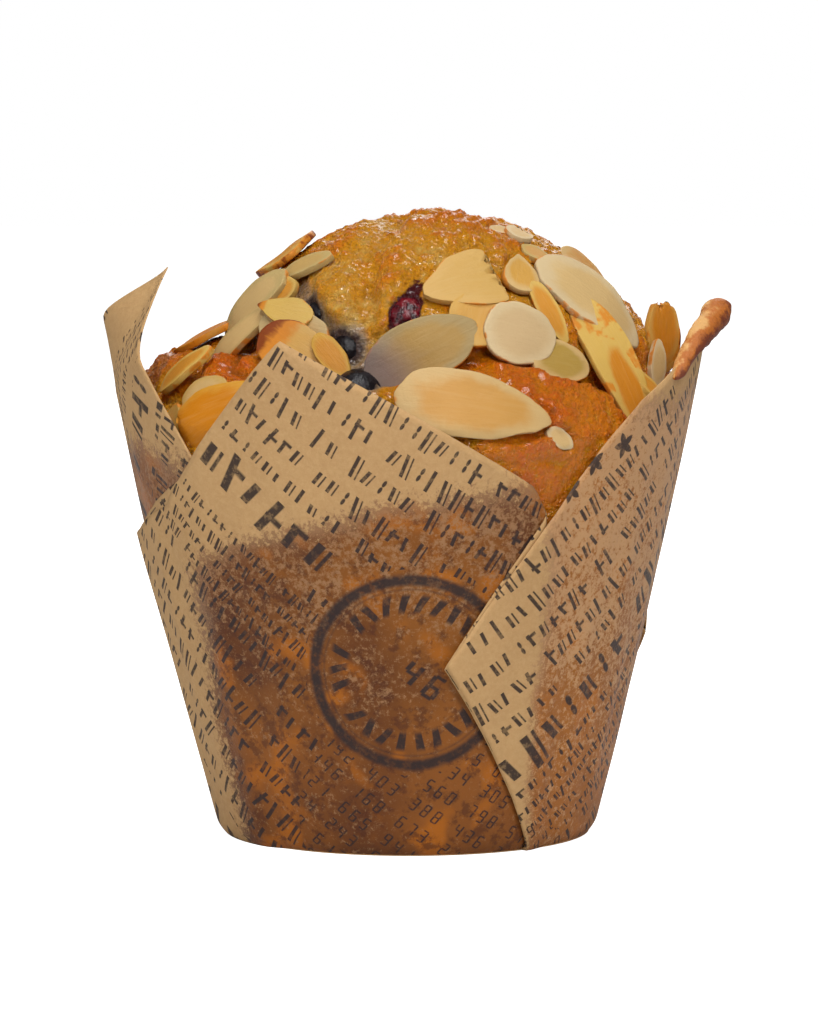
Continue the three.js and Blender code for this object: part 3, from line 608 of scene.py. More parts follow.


# Crumb body: a rich batter baked until it rose over the paper as a shoulder and
# broke open round a dome. The crust is golden, browned in patches and where it
# stands proud, and stained round the berries. Painted shade darkens it in the
# cracks and in the hollows of its relief, and fine cream flecks are painted glints.
CRUMB_UNDERSIDE = 0.8
WALL_GAP = 0.53
SHOULDER_HEIGHT = 51.5
SHOULDER_RISE = 14
SHOULDER_FLAT = 20
DOME_CENTRE = np.array((3, 0, 60))
DOME_RADII = np.array((27.6, 27.4, 24.4))
DOME_BLEND = 1.2
BEND_MARGIN = 8
FREE_FROM = 45
FREE_TO = 54
LOBES = (
    {"at": (15, -24, 58.5), "reach": 11, "swell": 2.6},
    {"at": (31, -2, 62.5), "reach": 9, "swell": 4.4},
    {"at": (-30, -1, 61.5), "reach": 9, "swell": 4.2},
    {"at": (-22, -18, 58), "reach": 8, "swell": 1.6},
    {"at": (6, 30, 58), "reach": 12, "swell": 2.4},
    {"at": (-11, -20, 73), "reach": 6, "swell": 1.2},
    {"at": (-1.5, -20, 75), "reach": 4.5, "swell": 0.9},
    {"at": (8, -8, 80), "reach": 8, "swell": 1.2},
    {"at": (24, -8, 72), "reach": 8, "swell": 1.0},
    {"at": (-23.5, -15, 64), "reach": 4, "swell": 2.2},
)
CRACKS = (
    {"path": ((-6.6, 84.2), (-12.6, 82), (-17, 80.2), (-16, 78), (-12, 72), (-13.2, 67.8)),
     "width": 1.7, "depth": 2.4},
    {"path": ((-60, 75.3), (-51.7, 77.4), (-44, 79.3), (-30, 80), (-18.4, 79.9)), "width": 1.4,
     "depth": 1.0},
    {"path": ((-50, 75), (-38.4, 72.7), (-29.5, 70.4), (-16.4, 66.8), (-9, 65.5)), "width": 1.8,
     "depth": 2.4},
    {"path": ((-13.2, 67.8), (-8.4, 67.2), (-4.6, 68.9), (0, 71.8), (8.4, 77.4)), "width": 1.6,
     "depth": 1.9},
    {"path": ((8, 63), (18, 65.6), (24, 67), (35, 66.3), (48, 63.8), (58, 61.5), (66, 60)),
     "width": 1.9, "depth": 2.6},
    {"path": ((66, 60), (84, 62), (104, 66), (128, 65), (150, 68)), "width": 2.2, "depth": 2.4},
    {"path": ((150, 68), (176, 66), (204, 68), (232, 65), (262, 67)), "width": 2.2, "depth": 2.2},
    {"path": ((262, 67), (283, 68.5), (297, 67.5), (308, 63.5), (320, 63)), "width": 1.8, "depth": 2.2},
    {"path": ((292, 67), (296, 63.5), (300, 60), (305, 57.5)), "width": 1.5, "depth": 1.7},
    {"path": ((-5, 84), (60, 83.5), (140, 80), (168, 73), (176, 66)), "width": 1.8, "depth": 1.2},
)


def from_axis(p):
    return np.hypot(p[..., 0] - CUP_LEAN * p[..., 2], p[..., 1])


def cup_wall(p):
    azimuth = np.degrees(np.arctan2(p[..., 0] - CUP_LEAN * p[..., 2], -p[..., 1]))
    bend = petal_bend(azimuth, p[..., 2] + BEND_MARGIN)
    return from_axis(p) - (wall_radius(p[..., 2]) + bend - WALL_GAP)


def plain_crumb(p):
    """Level set of the smooth body: below 0 inside, about millimetres outside."""
    height = p[..., 2]
    reach = wall_radius(SHOULDER_HEIGHT) - WALL_GAP - SHOULDER_FLAT
    across = np.maximum(0, from_axis(p) - SHOULDER_FLAT) / reach
    rise = np.maximum(0, height - SHOULDER_HEIGHT) / SHOULDER_RISE
    shoulder = (np.hypot(across, rise) - 1) * SHOULDER_RISE
    dome = (np.linalg.norm((p - DOME_CENTRE) / DOME_RADII, axis=-1) - 1) * DOME_RADII[2]
    low = np.where(height > SHOULDER_HEIGHT, shoulder, cup_wall(p))
    h = np.clip(0.5 + 0.5 * (dome - low) / DOME_BLEND, 0, 1)
    return lerp(dome, low, h) - DOME_BLEND * h * (1 - h)


def crossing(level, start, direction, reach=60.0):
    """Where rays from inside points cross the zero of a level set."""
    near = np.zeros(direction.shape[:-1])
    far = near + reach
    for _ in range(20):
        middle = (near + far) / 2
        inside = level(start + direction * middle[..., None]) < 0
        near = np.where(inside, middle, near)
        far = np.where(inside, far, middle)
    return start + direction * near[..., None]


def out_from_axis(level, azimuth, height):
    azimuth, height = np.asarray(azimuth, float), np.asarray(height, float)
    start = around(azimuth, 0 * height, height)
    return crossing(level, start, around(azimuth, 1 + 0 * height, height) - start)


crack_lines = [
    (out_from_axis(plain_crumb, *np.array(crack["path"], float).T), crack["width"], crack["depth"])
    for crack in CRACKS
]


def line_distance(p, line):
    """Distance of points from a polyline."""
    nearest = np.full(p.shape[:-1], 1e9)
    for a, b in zip(line[:-1], line[1:]):
        ab = b - a
        t = np.clip(((p - a) @ ab) / (ab @ ab), 0, 1)
        nearest = np.minimum(nearest, np.linalg.norm(p - a - t[..., None] * ab, axis=-1))
    return nearest


def crack_depth(p, sharpness=1.0):
    cut = np.zeros(p.shape[:-1])
    for line, width, depth in crack_lines:
        cut = np.maximum(cut, depth * np.exp(-((line_distance(p, line) * sharpness / width) ** 2)))
    return cut


def crumb(p):
    relief = crack_depth(p)
    for lobe in LOBES:
        away = np.linalg.norm(p - np.array(lobe["at"]), axis=-1) / lobe["reach"]
        relief = relief - lobe["swell"] * np.exp(-away * away)
    free = smooth(p[..., 2], FREE_FROM, FREE_TO)
    return np.maximum(plain_crumb(p) + free * relief, cup_wall(p))


def normal_of(p, level=plain_crumb, step=0.4):
    slope = np.stack(
        [level(p + step * axis) - level(p - step * axis) for axis in np.eye(3)], -1
    )
    return slope / np.linalg.norm(slope, axis=-1, keepdims=True)


def facing(azimuth, rise):
    out = around(np.float64(azimuth), math.cos(math.radians(rise)), 0)
    out[2] = math.sin(math.radians(rise))
    return out


# where each berry sank: azimuth and height, its radius, and how deep its middle lies
BERRIES = (
    {"name": "front_dark", "at": (-12.3, 63.4), "radius": 3.6, "depth": 2.6},
    {"name": "left_dark", "at": (-36, 72.1), "radius": 2.6, "depth": 3.0},
    {"name": "seam_dark", "at": (-20.5, 67.4), "radius": 2.6, "depth": 3.0},
    {"name": "burst_red", "at": (0.5, 72.3), "radius": 3.1, "depth": 3.0},
    {"name": "back_dark", "at": (166, 68), "radius": 4.4, "depth": 1.4},
)
for berry in BERRIES:
    seat = out_from_axis(plain_crumb, *berry["at"])
    berry["middle"] = seat - normal_of(seat) * berry["depth"]

CRUMB_COLUMNS = 400
CRUMB_ROWS = 200
WALL_SHARE = 0.12
WALL_TOP = 46
UNDERSIDE_SHARE = 0.08
CROWN_CORE = np.array((0, 0, 48.0))
FIRST_CROWN_ANGLE = 92
OPENING_DEPTH = 1.5
RELIEF_STEP = 0.8
LUMP_HEIGHT, GRAIN_HEIGHT, PIT_DEPTH = 0.36, 0.5, 0.3


def berry_opening(p):
    """How deep the crust opens over each berry."""
    cut = np.zeros(p.shape[:-1])
    for berry in BERRIES:
        away = np.linalg.norm(p - berry["middle"], axis=-1) / berry["radius"]
        cut = np.maximum(cut, OPENING_DEPTH * np.exp(-((away / 0.95) ** 6)))
    return cut


# the slices lie in shallow seats: where each one is, how long and wide, how it is turned
ALMOND_BOW = 0.018
SEAT_DEPTH, SEAT_LIP = 0.85, 2.3
SEAT_EDGE = (0.95, 1.3)
ALMONDS = (
    {"name": "oval_grey", "at": (5.5, 66.5), "size": (16.2, 9), "turn": 27, "lift": 1.1,
     "face": (4, 14)},
    {"name": "oval_front", "at": (15, 58.9), "size": (20.8, 8.8), "turn": -10, "lift": 2.3,
     "face": (16, 20), "point": 0.35},
    {"name": "chip_front", "at": (33.5, 55.6), "size": (4, 2.6), "turn": -35, "lift": 0.3},
    {"name": "triangle_dome", "at": (22.5, 75.6), "size": (12.5, 9), "turn": 15, "lift": 0.3,
     "snap": 0.18, "point": -0.4},
    {"name": "patch_dome", "at": (22, 71), "size": (8.5, 7.5), "turn": 70, "lift": 0.3},
    {"name": "pale_round", "at": (33, 68.6), "size": (10.4, 8.4), "turn": -12, "lift": 1.0,
     "face": (26, 16)},
    {"name": "pale_under", "at": (43.5, 65), "size": (9.5, 6), "turn": -12, "lift": 0.7,
     "face": (38, 22)},
    {"name": "long_crossing", "at": (58.5, 64.5), "size": (21.4, 6.8), "turn": -71, "lift": 2.8,
     "face": (30, 22)},
    {"name": "wide_white", "at": (63, 72.3), "size": (17.8, 9.8), "turn": -47, "lift": 1.5,
     "face": (48, 34)},
    {"name": "orange_edged", "at": (85.5, 76), "size": (10, 7.5), "turn": -40, "lift": 0.3,
     "face": (66, 40)},
    {"name": "sliver_standing", "at": (44.5, 71.3), "size": (9.4, 2.8), "turn": -62, "lift": 0.8,
     "face": (8, 14)},
    {"name": "wedge_top", "at": (42, 76.3), "size": (7, 4.6), "turn": 66, "lift": 0.6, "point": 0.5},
    {"name": "chunk_top", "at": (61, 80.9), "size": (4.6, 3.8), "turn": 12, "lift": 0.8, "snap": 0.3},
    {"name": "chip_top", "at": (56, 81.6), "size": (4, 2.2), "turn": -14, "lift": 0.3},
    {"name": "chip_side", "at": (57, 78.5), "size": (4.8, 3.4), "turn": -50, "lift": 0.4},
    {"name": "orange_right", "at": (85, 66.4), "size": (10.5, 6), "turn": 84, "lift": 5.0,
     "face": (40, 4), "snap": 0.12},
    {"name": "pale_right", "at": (78, 63), "size": (6.5, 2.6), "turn": 80, "lift": 3.9,
     "face": (40, 10)},
    {"name": "pale_behind", "at": (66, 59.6), "size": (7, 5), "turn": -60, "lift": 2.6},
    {"name": "slab_left", "at": (-90, 77.7), "size": (12, 9.6), "turn": 0, "lift": 1.3,
     "face": (-90, 53)},
    {"name": "strip_left", "at": (-51, 77.1), "size": (9, 4), "turn": 34, "lift": 0.4},
    {"name": "chunk_left", "at": (-52.5, 73.8), "size": (4.6, 4), "turn": 20, "lift": 0.7,
     "face": (-40, 20)},
    {"name": "double_upper", "at": (-64, 71.4), "size": (13.5, 6.4), "turn": 48, "lift": 1.7,
     "face": (-58, 24)},
    {"name": "double_lower", "at": (-59.5, 67.1), "size": (15, 3.8), "turn": 47, "lift": 2.6,
     "face": (-52, 24)},
    {"name": "brown_tip", "at": (-41.7, 70.8), "size": (8.8, 4), "turn": -14, "lift": 1.7,
     "face": (-28, 34), "point": -0.55},
    {"name": "pale_wide", "at": (-38, 69), "size": (11, 6), "turn": -8, "lift": 0.6, "face": (-30, 20)},
    {"name": "browned_behind", "at": (-32, 65), "size": (13.5, 7.5), "turn": -30, "lift": 1.6,
     "face": (-22, 24)},
    {"name": "yellow_small", "at": (-20.5, 65.5), "size": (7.5, 3.4), "turn": -48, "lift": 1.3,
     "face": (-16, 20)},
    {"name": "shoulder_slab", "at": (-84, 65.4), "size": (12.5, 9), "turn": 88, "lift": 3.6,
     "face": (-88, 66)},
    {"name": "shoulder_strip", "at": (-62, 61.8), "size": (9.6, 4.4), "turn": 54, "lift": 2.8,
     "face": (-60, 40)},
    {"name": "wavy_pale", "at": (-52, 60.6), "size": (8, 4.6), "turn": 20, "lift": 0.8,
     "face": (-50, 34)},
    {"name": "orange_large", "at": (-43, 57.9), "size": (16.5, 9.6), "turn": 24, "lift": 1.2,
     "face": (-38, 34), "snap": -0.12},
    {"name": "upright_left", "at": (-58.5, 54.8), "size": (9.5, 4.4), "turn": 78, "lift": 0.5,
     "face": (-56, 12)},
    {"name": "back_long", "at": (128, 71), "size": (17, 8), "turn": 36, "lift": 0.6},
    {"name": "back_crossing", "at": (152, 62), "size": (18, 8), "turn": -24, "lift": 1.0},
    {"name": "back_middle", "at": (186, 74), "size": (15, 8), "turn": 58, "lift": 0.6},
    {"name": "back_low", "at": (206, 62.5), "size": (16, 7.6), "turn": 12, "lift": 0.9, "point": 0.3},
    {"name": "back_left", "at": (236, 72), "size": (14, 7), "turn": -40, "lift": 0.7},
    {"name": "back_right", "at": (106, 62), "size": (14, 7.4), "turn": 30, "lift": 0.9},
    {"name": "back_top", "at": (170, 81.5), "size": (12, 7), "turn": 15, "lift": 0.5, "snap": 0.2},
)


def slice_frame(slice_):
    """Middle, length, width and outward directions of a slice laid on the crust."""
    seat = out_from_axis(plain_crumb, *slice_["at"])
    out = normal_of(seat)
    centre = seat + out * slice_["lift"]
    if "face" in slice_:
        out = facing(*slice_["face"])
    level = np.cross((0, 0, 1), out)
    level /= np.linalg.norm(level)
    turn = math.radians(slice_["turn"])
    lengthwise = level * math.cos(turn) + np.cross(out, level) * math.sin(turn)
    return centre, lengthwise, np.cross(out, lengthwise), out


bm = bmesh.new()
browning = bm.verts.layers.float.new("browning")
juice = bm.verts.layers.float.new("juice")
stain = bm.verts.layers.float.new("stain")
groove = bm.verts.layers.float.new("groove")
verts, shares = grid_shape(bm, CRUMB_COLUMNS, CRUMB_ROWS)
azimuths = shares[:, 0] * 360
low = shares[:, 1] < WALL_SHARE
climb = shares[:, 1] / WALL_SHARE * (1 + UNDERSIDE_SHARE) - UNDERSIDE_SHARE
wall_up = lerp(CRUMB_UNDERSIDE, WALL_TOP, np.clip(climb, 0, 1))
places = np.zeros((len(verts), 3))
places[low] = out_from_axis(plain_crumb, azimuths[low], wall_up[low])
pole = shares[:, 1] < 1e-6
places[pole] = (0, 0, CRUMB_UNDERSIDE)
fall = np.radians(FIRST_CROWN_ANGLE * (1 - (shares[~low, 1] - WALL_SHARE) / (1 - WALL_SHARE)))
rays = around(azimuths[~low], np.sin(fall), 0 * fall)
rays[:, 2] = np.cos(fall)
crown = crossing(plain_crumb, CROWN_CORE, rays)
for _ in range(10):
    # the relief is shallow, so a few steps along each ray settle it
    crown = crown - rays * RELIEF_STEP * (crumb(crown) + berry_opening(crown))[:, None]
crags = np.array([
    LUMP_HEIGHT * noise.fractal(Vector(p) * 0.2, 0.9, 2.1, 4)
    + GRAIN_HEIGHT * noise.fractal(Vector(p) * 0.45, 0.6, 2.0, 4)
    + PIT_DEPTH * (noise.voronoi(Vector(p) * 0.7)[0][0] - 0.5)
    for p in crown
])
out = normal_of(crown)
free = smooth(crown[:, 2], FREE_FROM, FREE_TO)
crown = crown + out * (crags * free)[:, None]
for slice_ in ALMONDS:
    centre, lengthwise, crosswise, up = slice_frame(slice_)
    length, width = slice_["size"]
    along = (crown - centre) @ lengthwise
    across = (crown - centre) @ crosswise
    proud = (crown - centre) @ up + (ALMOND_BOW * along**2 + SEAT_DEPTH)
    held = 1 - smooth((2 * along / length) ** 2 + (2 * across / width) ** 2, *SEAT_EDGE)
    held = np.where((proud > 0) & (proud < SEAT_DEPTH + SEAT_LIP), held, 0)
    crown = crown - up * (proud * held)[:, None]
crown = crown - out * (np.maximum(0, cup_wall(crown)))[:, None]
places[~low] = crown
for vert, place in zip(verts, places):
    vert.co = place * MM

# where the crust browned, how far, and how much
BROWNED = (
    {"at": (15, -26, 60), "reach": 14, "share": 0.85},
    {"at": (30, -14, 60), "reach": 11, "share": 0.85},
    {"at": (33, 4, 62), "reach": 12, "share": 0.75},
    {"at": (-23.5, -16, 64), "reach": 8, "share": 0.85},
    {"at": (-32, 0, 62), "reach": 12, "share": 0.6},
    {"at": (-34, -12, 52), "reach": 10, "share": 0.6},
    {"at": (0, 32, 62), "reach": 24, "share": 0.7},
    {"at": (-3, -19, 79), "reach": 5, "share": 0.5},
    {"at": (8, -6, 86), "reach": 12, "share": 0.5},
    {"at": (16, -10, 82), "reach": 8, "share": 0.35},
    {"at": (17, -34, 53), "reach": 12, "share": 0.65},
    {"at": (34, -14, 58), "reach": 9, "share": 0.8},
    {"at": (-12, -6, 82), "reach": 9, "share": 0.4},
    {"at": (0, 12, 84), "reach": 14, "share": 0.5},
    {"at": (22, 8, 76), "reach": 12, "share": 0.45},
)
CRAG_BROWNING = 0.45
DEEPEST_CRACK = 2.4
# how dark the juice left the crust, and between which distances from it that fades
FOOT_STAIN, FOOT_FADE = 0.85, (0.6, 3.4)
BERRY_STAIN, BERRY_FADE = 1.1, (0.2, 3.0)
RED_CRACK_FADE, RED_BERRY_FADE = (0.5, 1.5), (0.1, 1.0)
RED_TOP = 76
baked = np.zeros(len(verts))
for patch in BROWNED:
    away = np.linalg.norm(places - np.array(patch["at"]), axis=-1) / patch["reach"]
    baked = np.maximum(baked, patch["share"] * np.exp(-away * away))
creased = np.zeros(len(verts))
creased[~low] = crack_depth(crown, 1.6) / DEEPEST_CRACK
baked[~low] += CRAG_BROWNING * crags
purple = np.zeros(len(verts))
red = np.zeros(len(verts))
LOBE_FOOT, JUICE_CRACK = crack_lines[2][0], crack_lines[3][0]
purple[~low] = FOOT_STAIN * (1 - smooth(line_distance(crown, LOBE_FOOT), *FOOT_FADE))
red[~low] = 1 - smooth(line_distance(crown, JUICE_CRACK[2:]), *RED_CRACK_FADE)
for berry in BERRIES:
    away = np.linalg.norm(places - berry["middle"], axis=-1) - berry["radius"]
    if berry["name"] == "burst_red":
        red = np.maximum(red, 1 - smooth(away, *RED_BERRY_FADE))
        red[places[:, 2] > RED_TOP] = 0
    else:
        purple = np.maximum(purple, BERRY_STAIN * (1 - smooth(away, *BERRY_FADE)))
for vert, brown, wet, grey, cut in zip(verts, baked, red, purple, creased):
    vert[browning] = brown
    vert[groove] = cut
    vert[juice] = wet
    vert[stain] = grey
bmesh.ops.remove_doubles(bm, verts=bm.verts, dist=0.005 * MM)
bmesh.ops.recalc_face_normals(bm, faces=bm.faces)
crumb_piece = new_piece("crumb_crown", bm)
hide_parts("crumb_body")
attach(crumb_piece, "root")

# crust colours: each is reached between two levels of browning
BATTER = (255, 202, 100)
BAKED_TONES = (
    (-0.2, 0.2, (255, 170, 20)),
    (0.2, 0.5, (252, 140, 3)),
    (0.5, 0.85, (250, 118, 2)),
    (0.85, 1.2, (190, 84, 2)),
)
crust, tree, shader, spot = new_material("baked_crust")
patchy = calc(tree, "SUBTRACT", texture(tree, spot, 0.16, 4, 0.6), 0.5)
mottle = calc(tree, "SUBTRACT", texture(tree, spot, 0.9, 5, 0.7), 0.5)
brown = calc(tree, "ADD", attribute_of(tree, "browning"), calc(tree, "MULTIPLY", patchy, 0.65))
brown = calc(tree, "ADD", brown, calc(tree, "MULTIPLY", mottle, 0.7))
colour = srgb(*BATTER)
for start, end, tone in BAKED_TONES:
    colour = tint(tree, ramp(tree, brown, start, end), colour, srgb(*tone))
# painted glints: fine cream flecks in the crust colour stand in for highlights on its relief
painted_glints = ramp(tree, texture(tree, spot, 2.4, 4, 0.7), 0.60, 0.66, 0, 0.6)
glint_colour = tint(tree, ramp(tree, brown, 0.2, 0.7), srgb(255, 222, 132), srgb(255, 190, 64))
colour = tint(tree, painted_glints, colour, glint_colour)
relief = texture(tree, spot, 1.15, 5, 0.75)
# painted shade: where the relief is low the crust is darkened, as shade in its hollows
colour = tint(tree, ramp(tree, relief, 0.5, 0.36, 0, 0.4), colour, srgb(214, 128, 4))
# painted shade: the crust is darker down in the cracks, by their depth
crack_shade = ramp(tree, attribute_of(tree, "groove"), 0.3, 1.0, 0, 0.75)
colour = tint(tree, crack_shade, colour, srgb(150, 84, 8))
near_berry = attribute_of(tree, "stain")
uneven = calc(tree, "MULTIPLY", ramp(tree, near_berry, 0, 0.15), mottle)
stain_edge = calc(tree, "ADD", near_berry, calc(tree, "MULTIPLY", uneven, 0.5))
stained = ramp(tree, stain_edge, 0.25, 0.95, 0, 0.8)
colour = tint(tree, stained, colour, srgb(176, 158, 140))
darkest = ramp(tree, stain_edge, 0.85, 1.1, 0, 0.85)
colour = tint(tree, darkest, colour, srgb(62, 40, 50))
juice_at = attribute_of(tree, "juice")
uneven = calc(tree, "MULTIPLY", ramp(tree, juice_at, 0, 0.15), mottle)
juice_edge = calc(tree, "ADD", juice_at, calc(tree, "MULTIPLY", uneven, 0.8))
colour = tint(tree, ramp(tree, juice_edge, 0.3, 0.7), colour, srgb(86, 8, 20))
tree.links.new(colour, shader.inputs["Base Color"])
tree.links.new(ramp(tree, mottle, -0.15, 0.2, 0.2, 0.4), shader.inputs["Roughness"])
shader.inputs["Specular IOR Level"].default_value = 0.4
shader.inputs["Coat Weight"].default_value = 0.3
shader.inputs["Coat Roughness"].default_value = 0.12
pits = add(tree, "ShaderNodeTexVoronoi", {"Vector": spot, "Scale": 0.9}, feature="F1").outputs["Distance"]
height = calc(tree, "ADD", relief, calc(tree, "MULTIPLY", pits, 0.45))
height = calc(tree, "ADD", height, calc(tree, "MULTIPLY", texture(tree, spot, 2.8, 3, 0.6), 0.45))
tree.links.new(bump(tree, height, 1.0, 2.0), shader.inputs["Normal"])
crumb_piece.data.materials.append(crust)


# Sliced almonds: blanched kernels cut into slices about a millimetre thick,
# scattered on the batter before baking. Most stayed pale, some browned, and each
# sits in the crust where the rising batter left it.
ALMOND_THICKNESS = 0.95
ALMOND_SIDES = 48
ALMOND_RINGS = (0.22, 0.45, 0.66, 0.83, 0.94, 1.0)
# the colour of each slice: its rim and face, its middle, and how far it browned in patches
PALE, CREAM, YELLOW = (200, 176, 134), (196, 162, 106), (200, 162, 80)
TAN, GREY, GOLD = (192, 142, 74), (158, 134, 88), (196, 128, 24)
AMBER = (192, 116, 8)
LOOKS = {
    "oval_grey": (GREY, (164, 128, 66), 0.0),
    "oval_front": ((194, 160, 106), (190, 138, 66), 0.0),
    "triangle_dome": ((194, 154, 86), (190, 150, 80), 0.0),
    "patch_dome": ((194, 150, 74), (190, 142, 66), 0.1),
    "pale_round": (PALE, (192, 162, 118), 0.0), "wide_white": (PALE, CREAM, 0.0),
    "pale_under": (CREAM, (164, 132, 56), 0.1), "long_crossing": (YELLOW, AMBER, 0.0),
    "orange_edged": (CREAM, TAN, 0.35), "wedge_top": (CREAM, (192, 142, 58), 0.1),
    "sliver_standing": (YELLOW, GOLD, 0.2), "chip_side": ((182, 154, 92), TAN, 0.0),
    "orange_right": ((196, 148, 70), AMBER, 0.35), "pale_behind": (YELLOW, GOLD, 0.2),
    "slab_left": (YELLOW, GOLD, 0.35), "strip_left": ((182, 156, 98), (184, 148, 84), 0.0),
    "chunk_left": (YELLOW, GOLD, 0.1), "double_upper": ((182, 156, 100), CREAM, 0.0),
    "double_lower": ((182, 152, 96), CREAM, 0.05), "brown_tip": ((198, 162, 78), YELLOW, 0.1),
    "pale_wide": ((188, 162, 112), CREAM, 0.0),
    "browned_behind": ((196, 156, 88), (196, 150, 76), 0.25),
    "yellow_small": ((198, 150, 52), GOLD, 0.1), "shoulder_slab": ((190, 124, 28), AMBER, 0.35),
    "shoulder_strip": (YELLOW, GOLD, 0.1), "wavy_pale": ((190, 154, 86), CREAM, 0.05),
    "orange_large": ((196, 138, 40), (188, 112, 6), 0.1),
    "upright_left": ((180, 140, 68), TAN, 0.1),
    "back_low": (YELLOW, GOLD, 0.3), "back_right": (CREAM, GOLD, 0.3),
}
PLAIN_LOOK = (PALE, CREAM, 0.05)
# how much berry juice a slice took up; the others took up a little
STAINED = {"oval_grey": 1.0}
PLAIN_STAIN = 0.15
JUICE_REACH = 7
DARK_BERRIES = [berry for berry in BERRIES if berry["name"] != "burst_red"]
# ends that darkened more than the rest, by the share of the length where they start
BURNT_END = {"brown_tip": -0.45, "browned_behind": -0.2, "long_crossing": -0.84}
BURNT_MORE = 0.9
# slices whose darker core lies to one end
CORE_AT = {"long_crossing": (0.42, 0.75), "orange_right": (0.2, 1.0), "orange_large": (-0.2, 1.1)}

kernel, tree, shader, spot = new_material("almond_slice")
slice_uv = add(tree, "ShaderNodeUVMap", uv_map="slice").outputs[0]
uv_middle = {0: slice_uv, 1: (0.5, 0.5, 0)}
reach = add(tree, "ShaderNodeVectorMath", uv_middle, operation="DISTANCE").outputs["Value"]
rim_colour = add(tree, "ShaderNodeAttribute", attribute_name="rim").outputs["Color"]
core_colour = add(tree, "ShaderNodeAttribute", attribute_name="core").outputs["Color"]
lengthened = {0: slice_uv, 1: (2.0, 12.0, 1)}
along_grain = add(tree, "ShaderNodeVectorMath", lengthened, operation="MULTIPLY").outputs[0]
streak = texture(tree, along_grain, 1.6, 4, 0.65, 0.4)
blotch = texture(tree, spot, 0.3, 3, 0.55)
patch = calc(tree, "SUBTRACT", blotch, 0.5)
core = calc(tree, "ADD", reach, calc(tree, "MULTIPLY", patch, 0.22))
colour = tint(tree, ramp(tree, core, 0.45, 0.30, 0, 0.9), rim_colour, core_colour)
colour = tint(tree, ramp(tree, streak, 0.4, 0.75, 0, 0.1), colour, srgb(214, 192, 144))
heat = calc(tree, "ADD", attribute_of(tree, "toast"), calc(tree, "MULTIPLY", patch, 0.9))
grain = calc(tree, "SUBTRACT", streak, 0.5)
heat = calc(tree, "ADD", heat, calc(tree, "MULTIPLY", grain, 0.35))
brim = calc(tree, "MULTIPLY", ramp(tree, reach, 0.46, 0.5), ramp(tree, blotch, 0.42, 0.62))
heat = calc(tree, "ADD", heat, calc(tree, "MULTIPLY", brim, 0.5))
colour = tint(tree, ramp(tree, heat, 0.25, 0.6, 0, 0.85), colour, srgb(200, 118, 20))
colour = tint(tree, ramp(tree, heat, 0.7, 1.0, 0, 0.9), colour, srgb(116, 44, 12))
juice_share = calc(tree, "MULTIPLY", attribute_of(tree, "stain"), 0.8)
colour = tint(tree, juice_share, colour, srgb(112, 96, 98))
tree.links.new(colour, shader.inputs["Base Color"])
shader.inputs["Roughness"].default_value = 0.5
shader.inputs["Specular IOR Level"].default_value = 0.22
ridges = calc(tree, "ADD", streak, texture(tree, spot, 1.6, 3, 0.6))
tree.links.new(bump(tree, ridges, 0.6, 0.12), shader.inputs["Normal"])

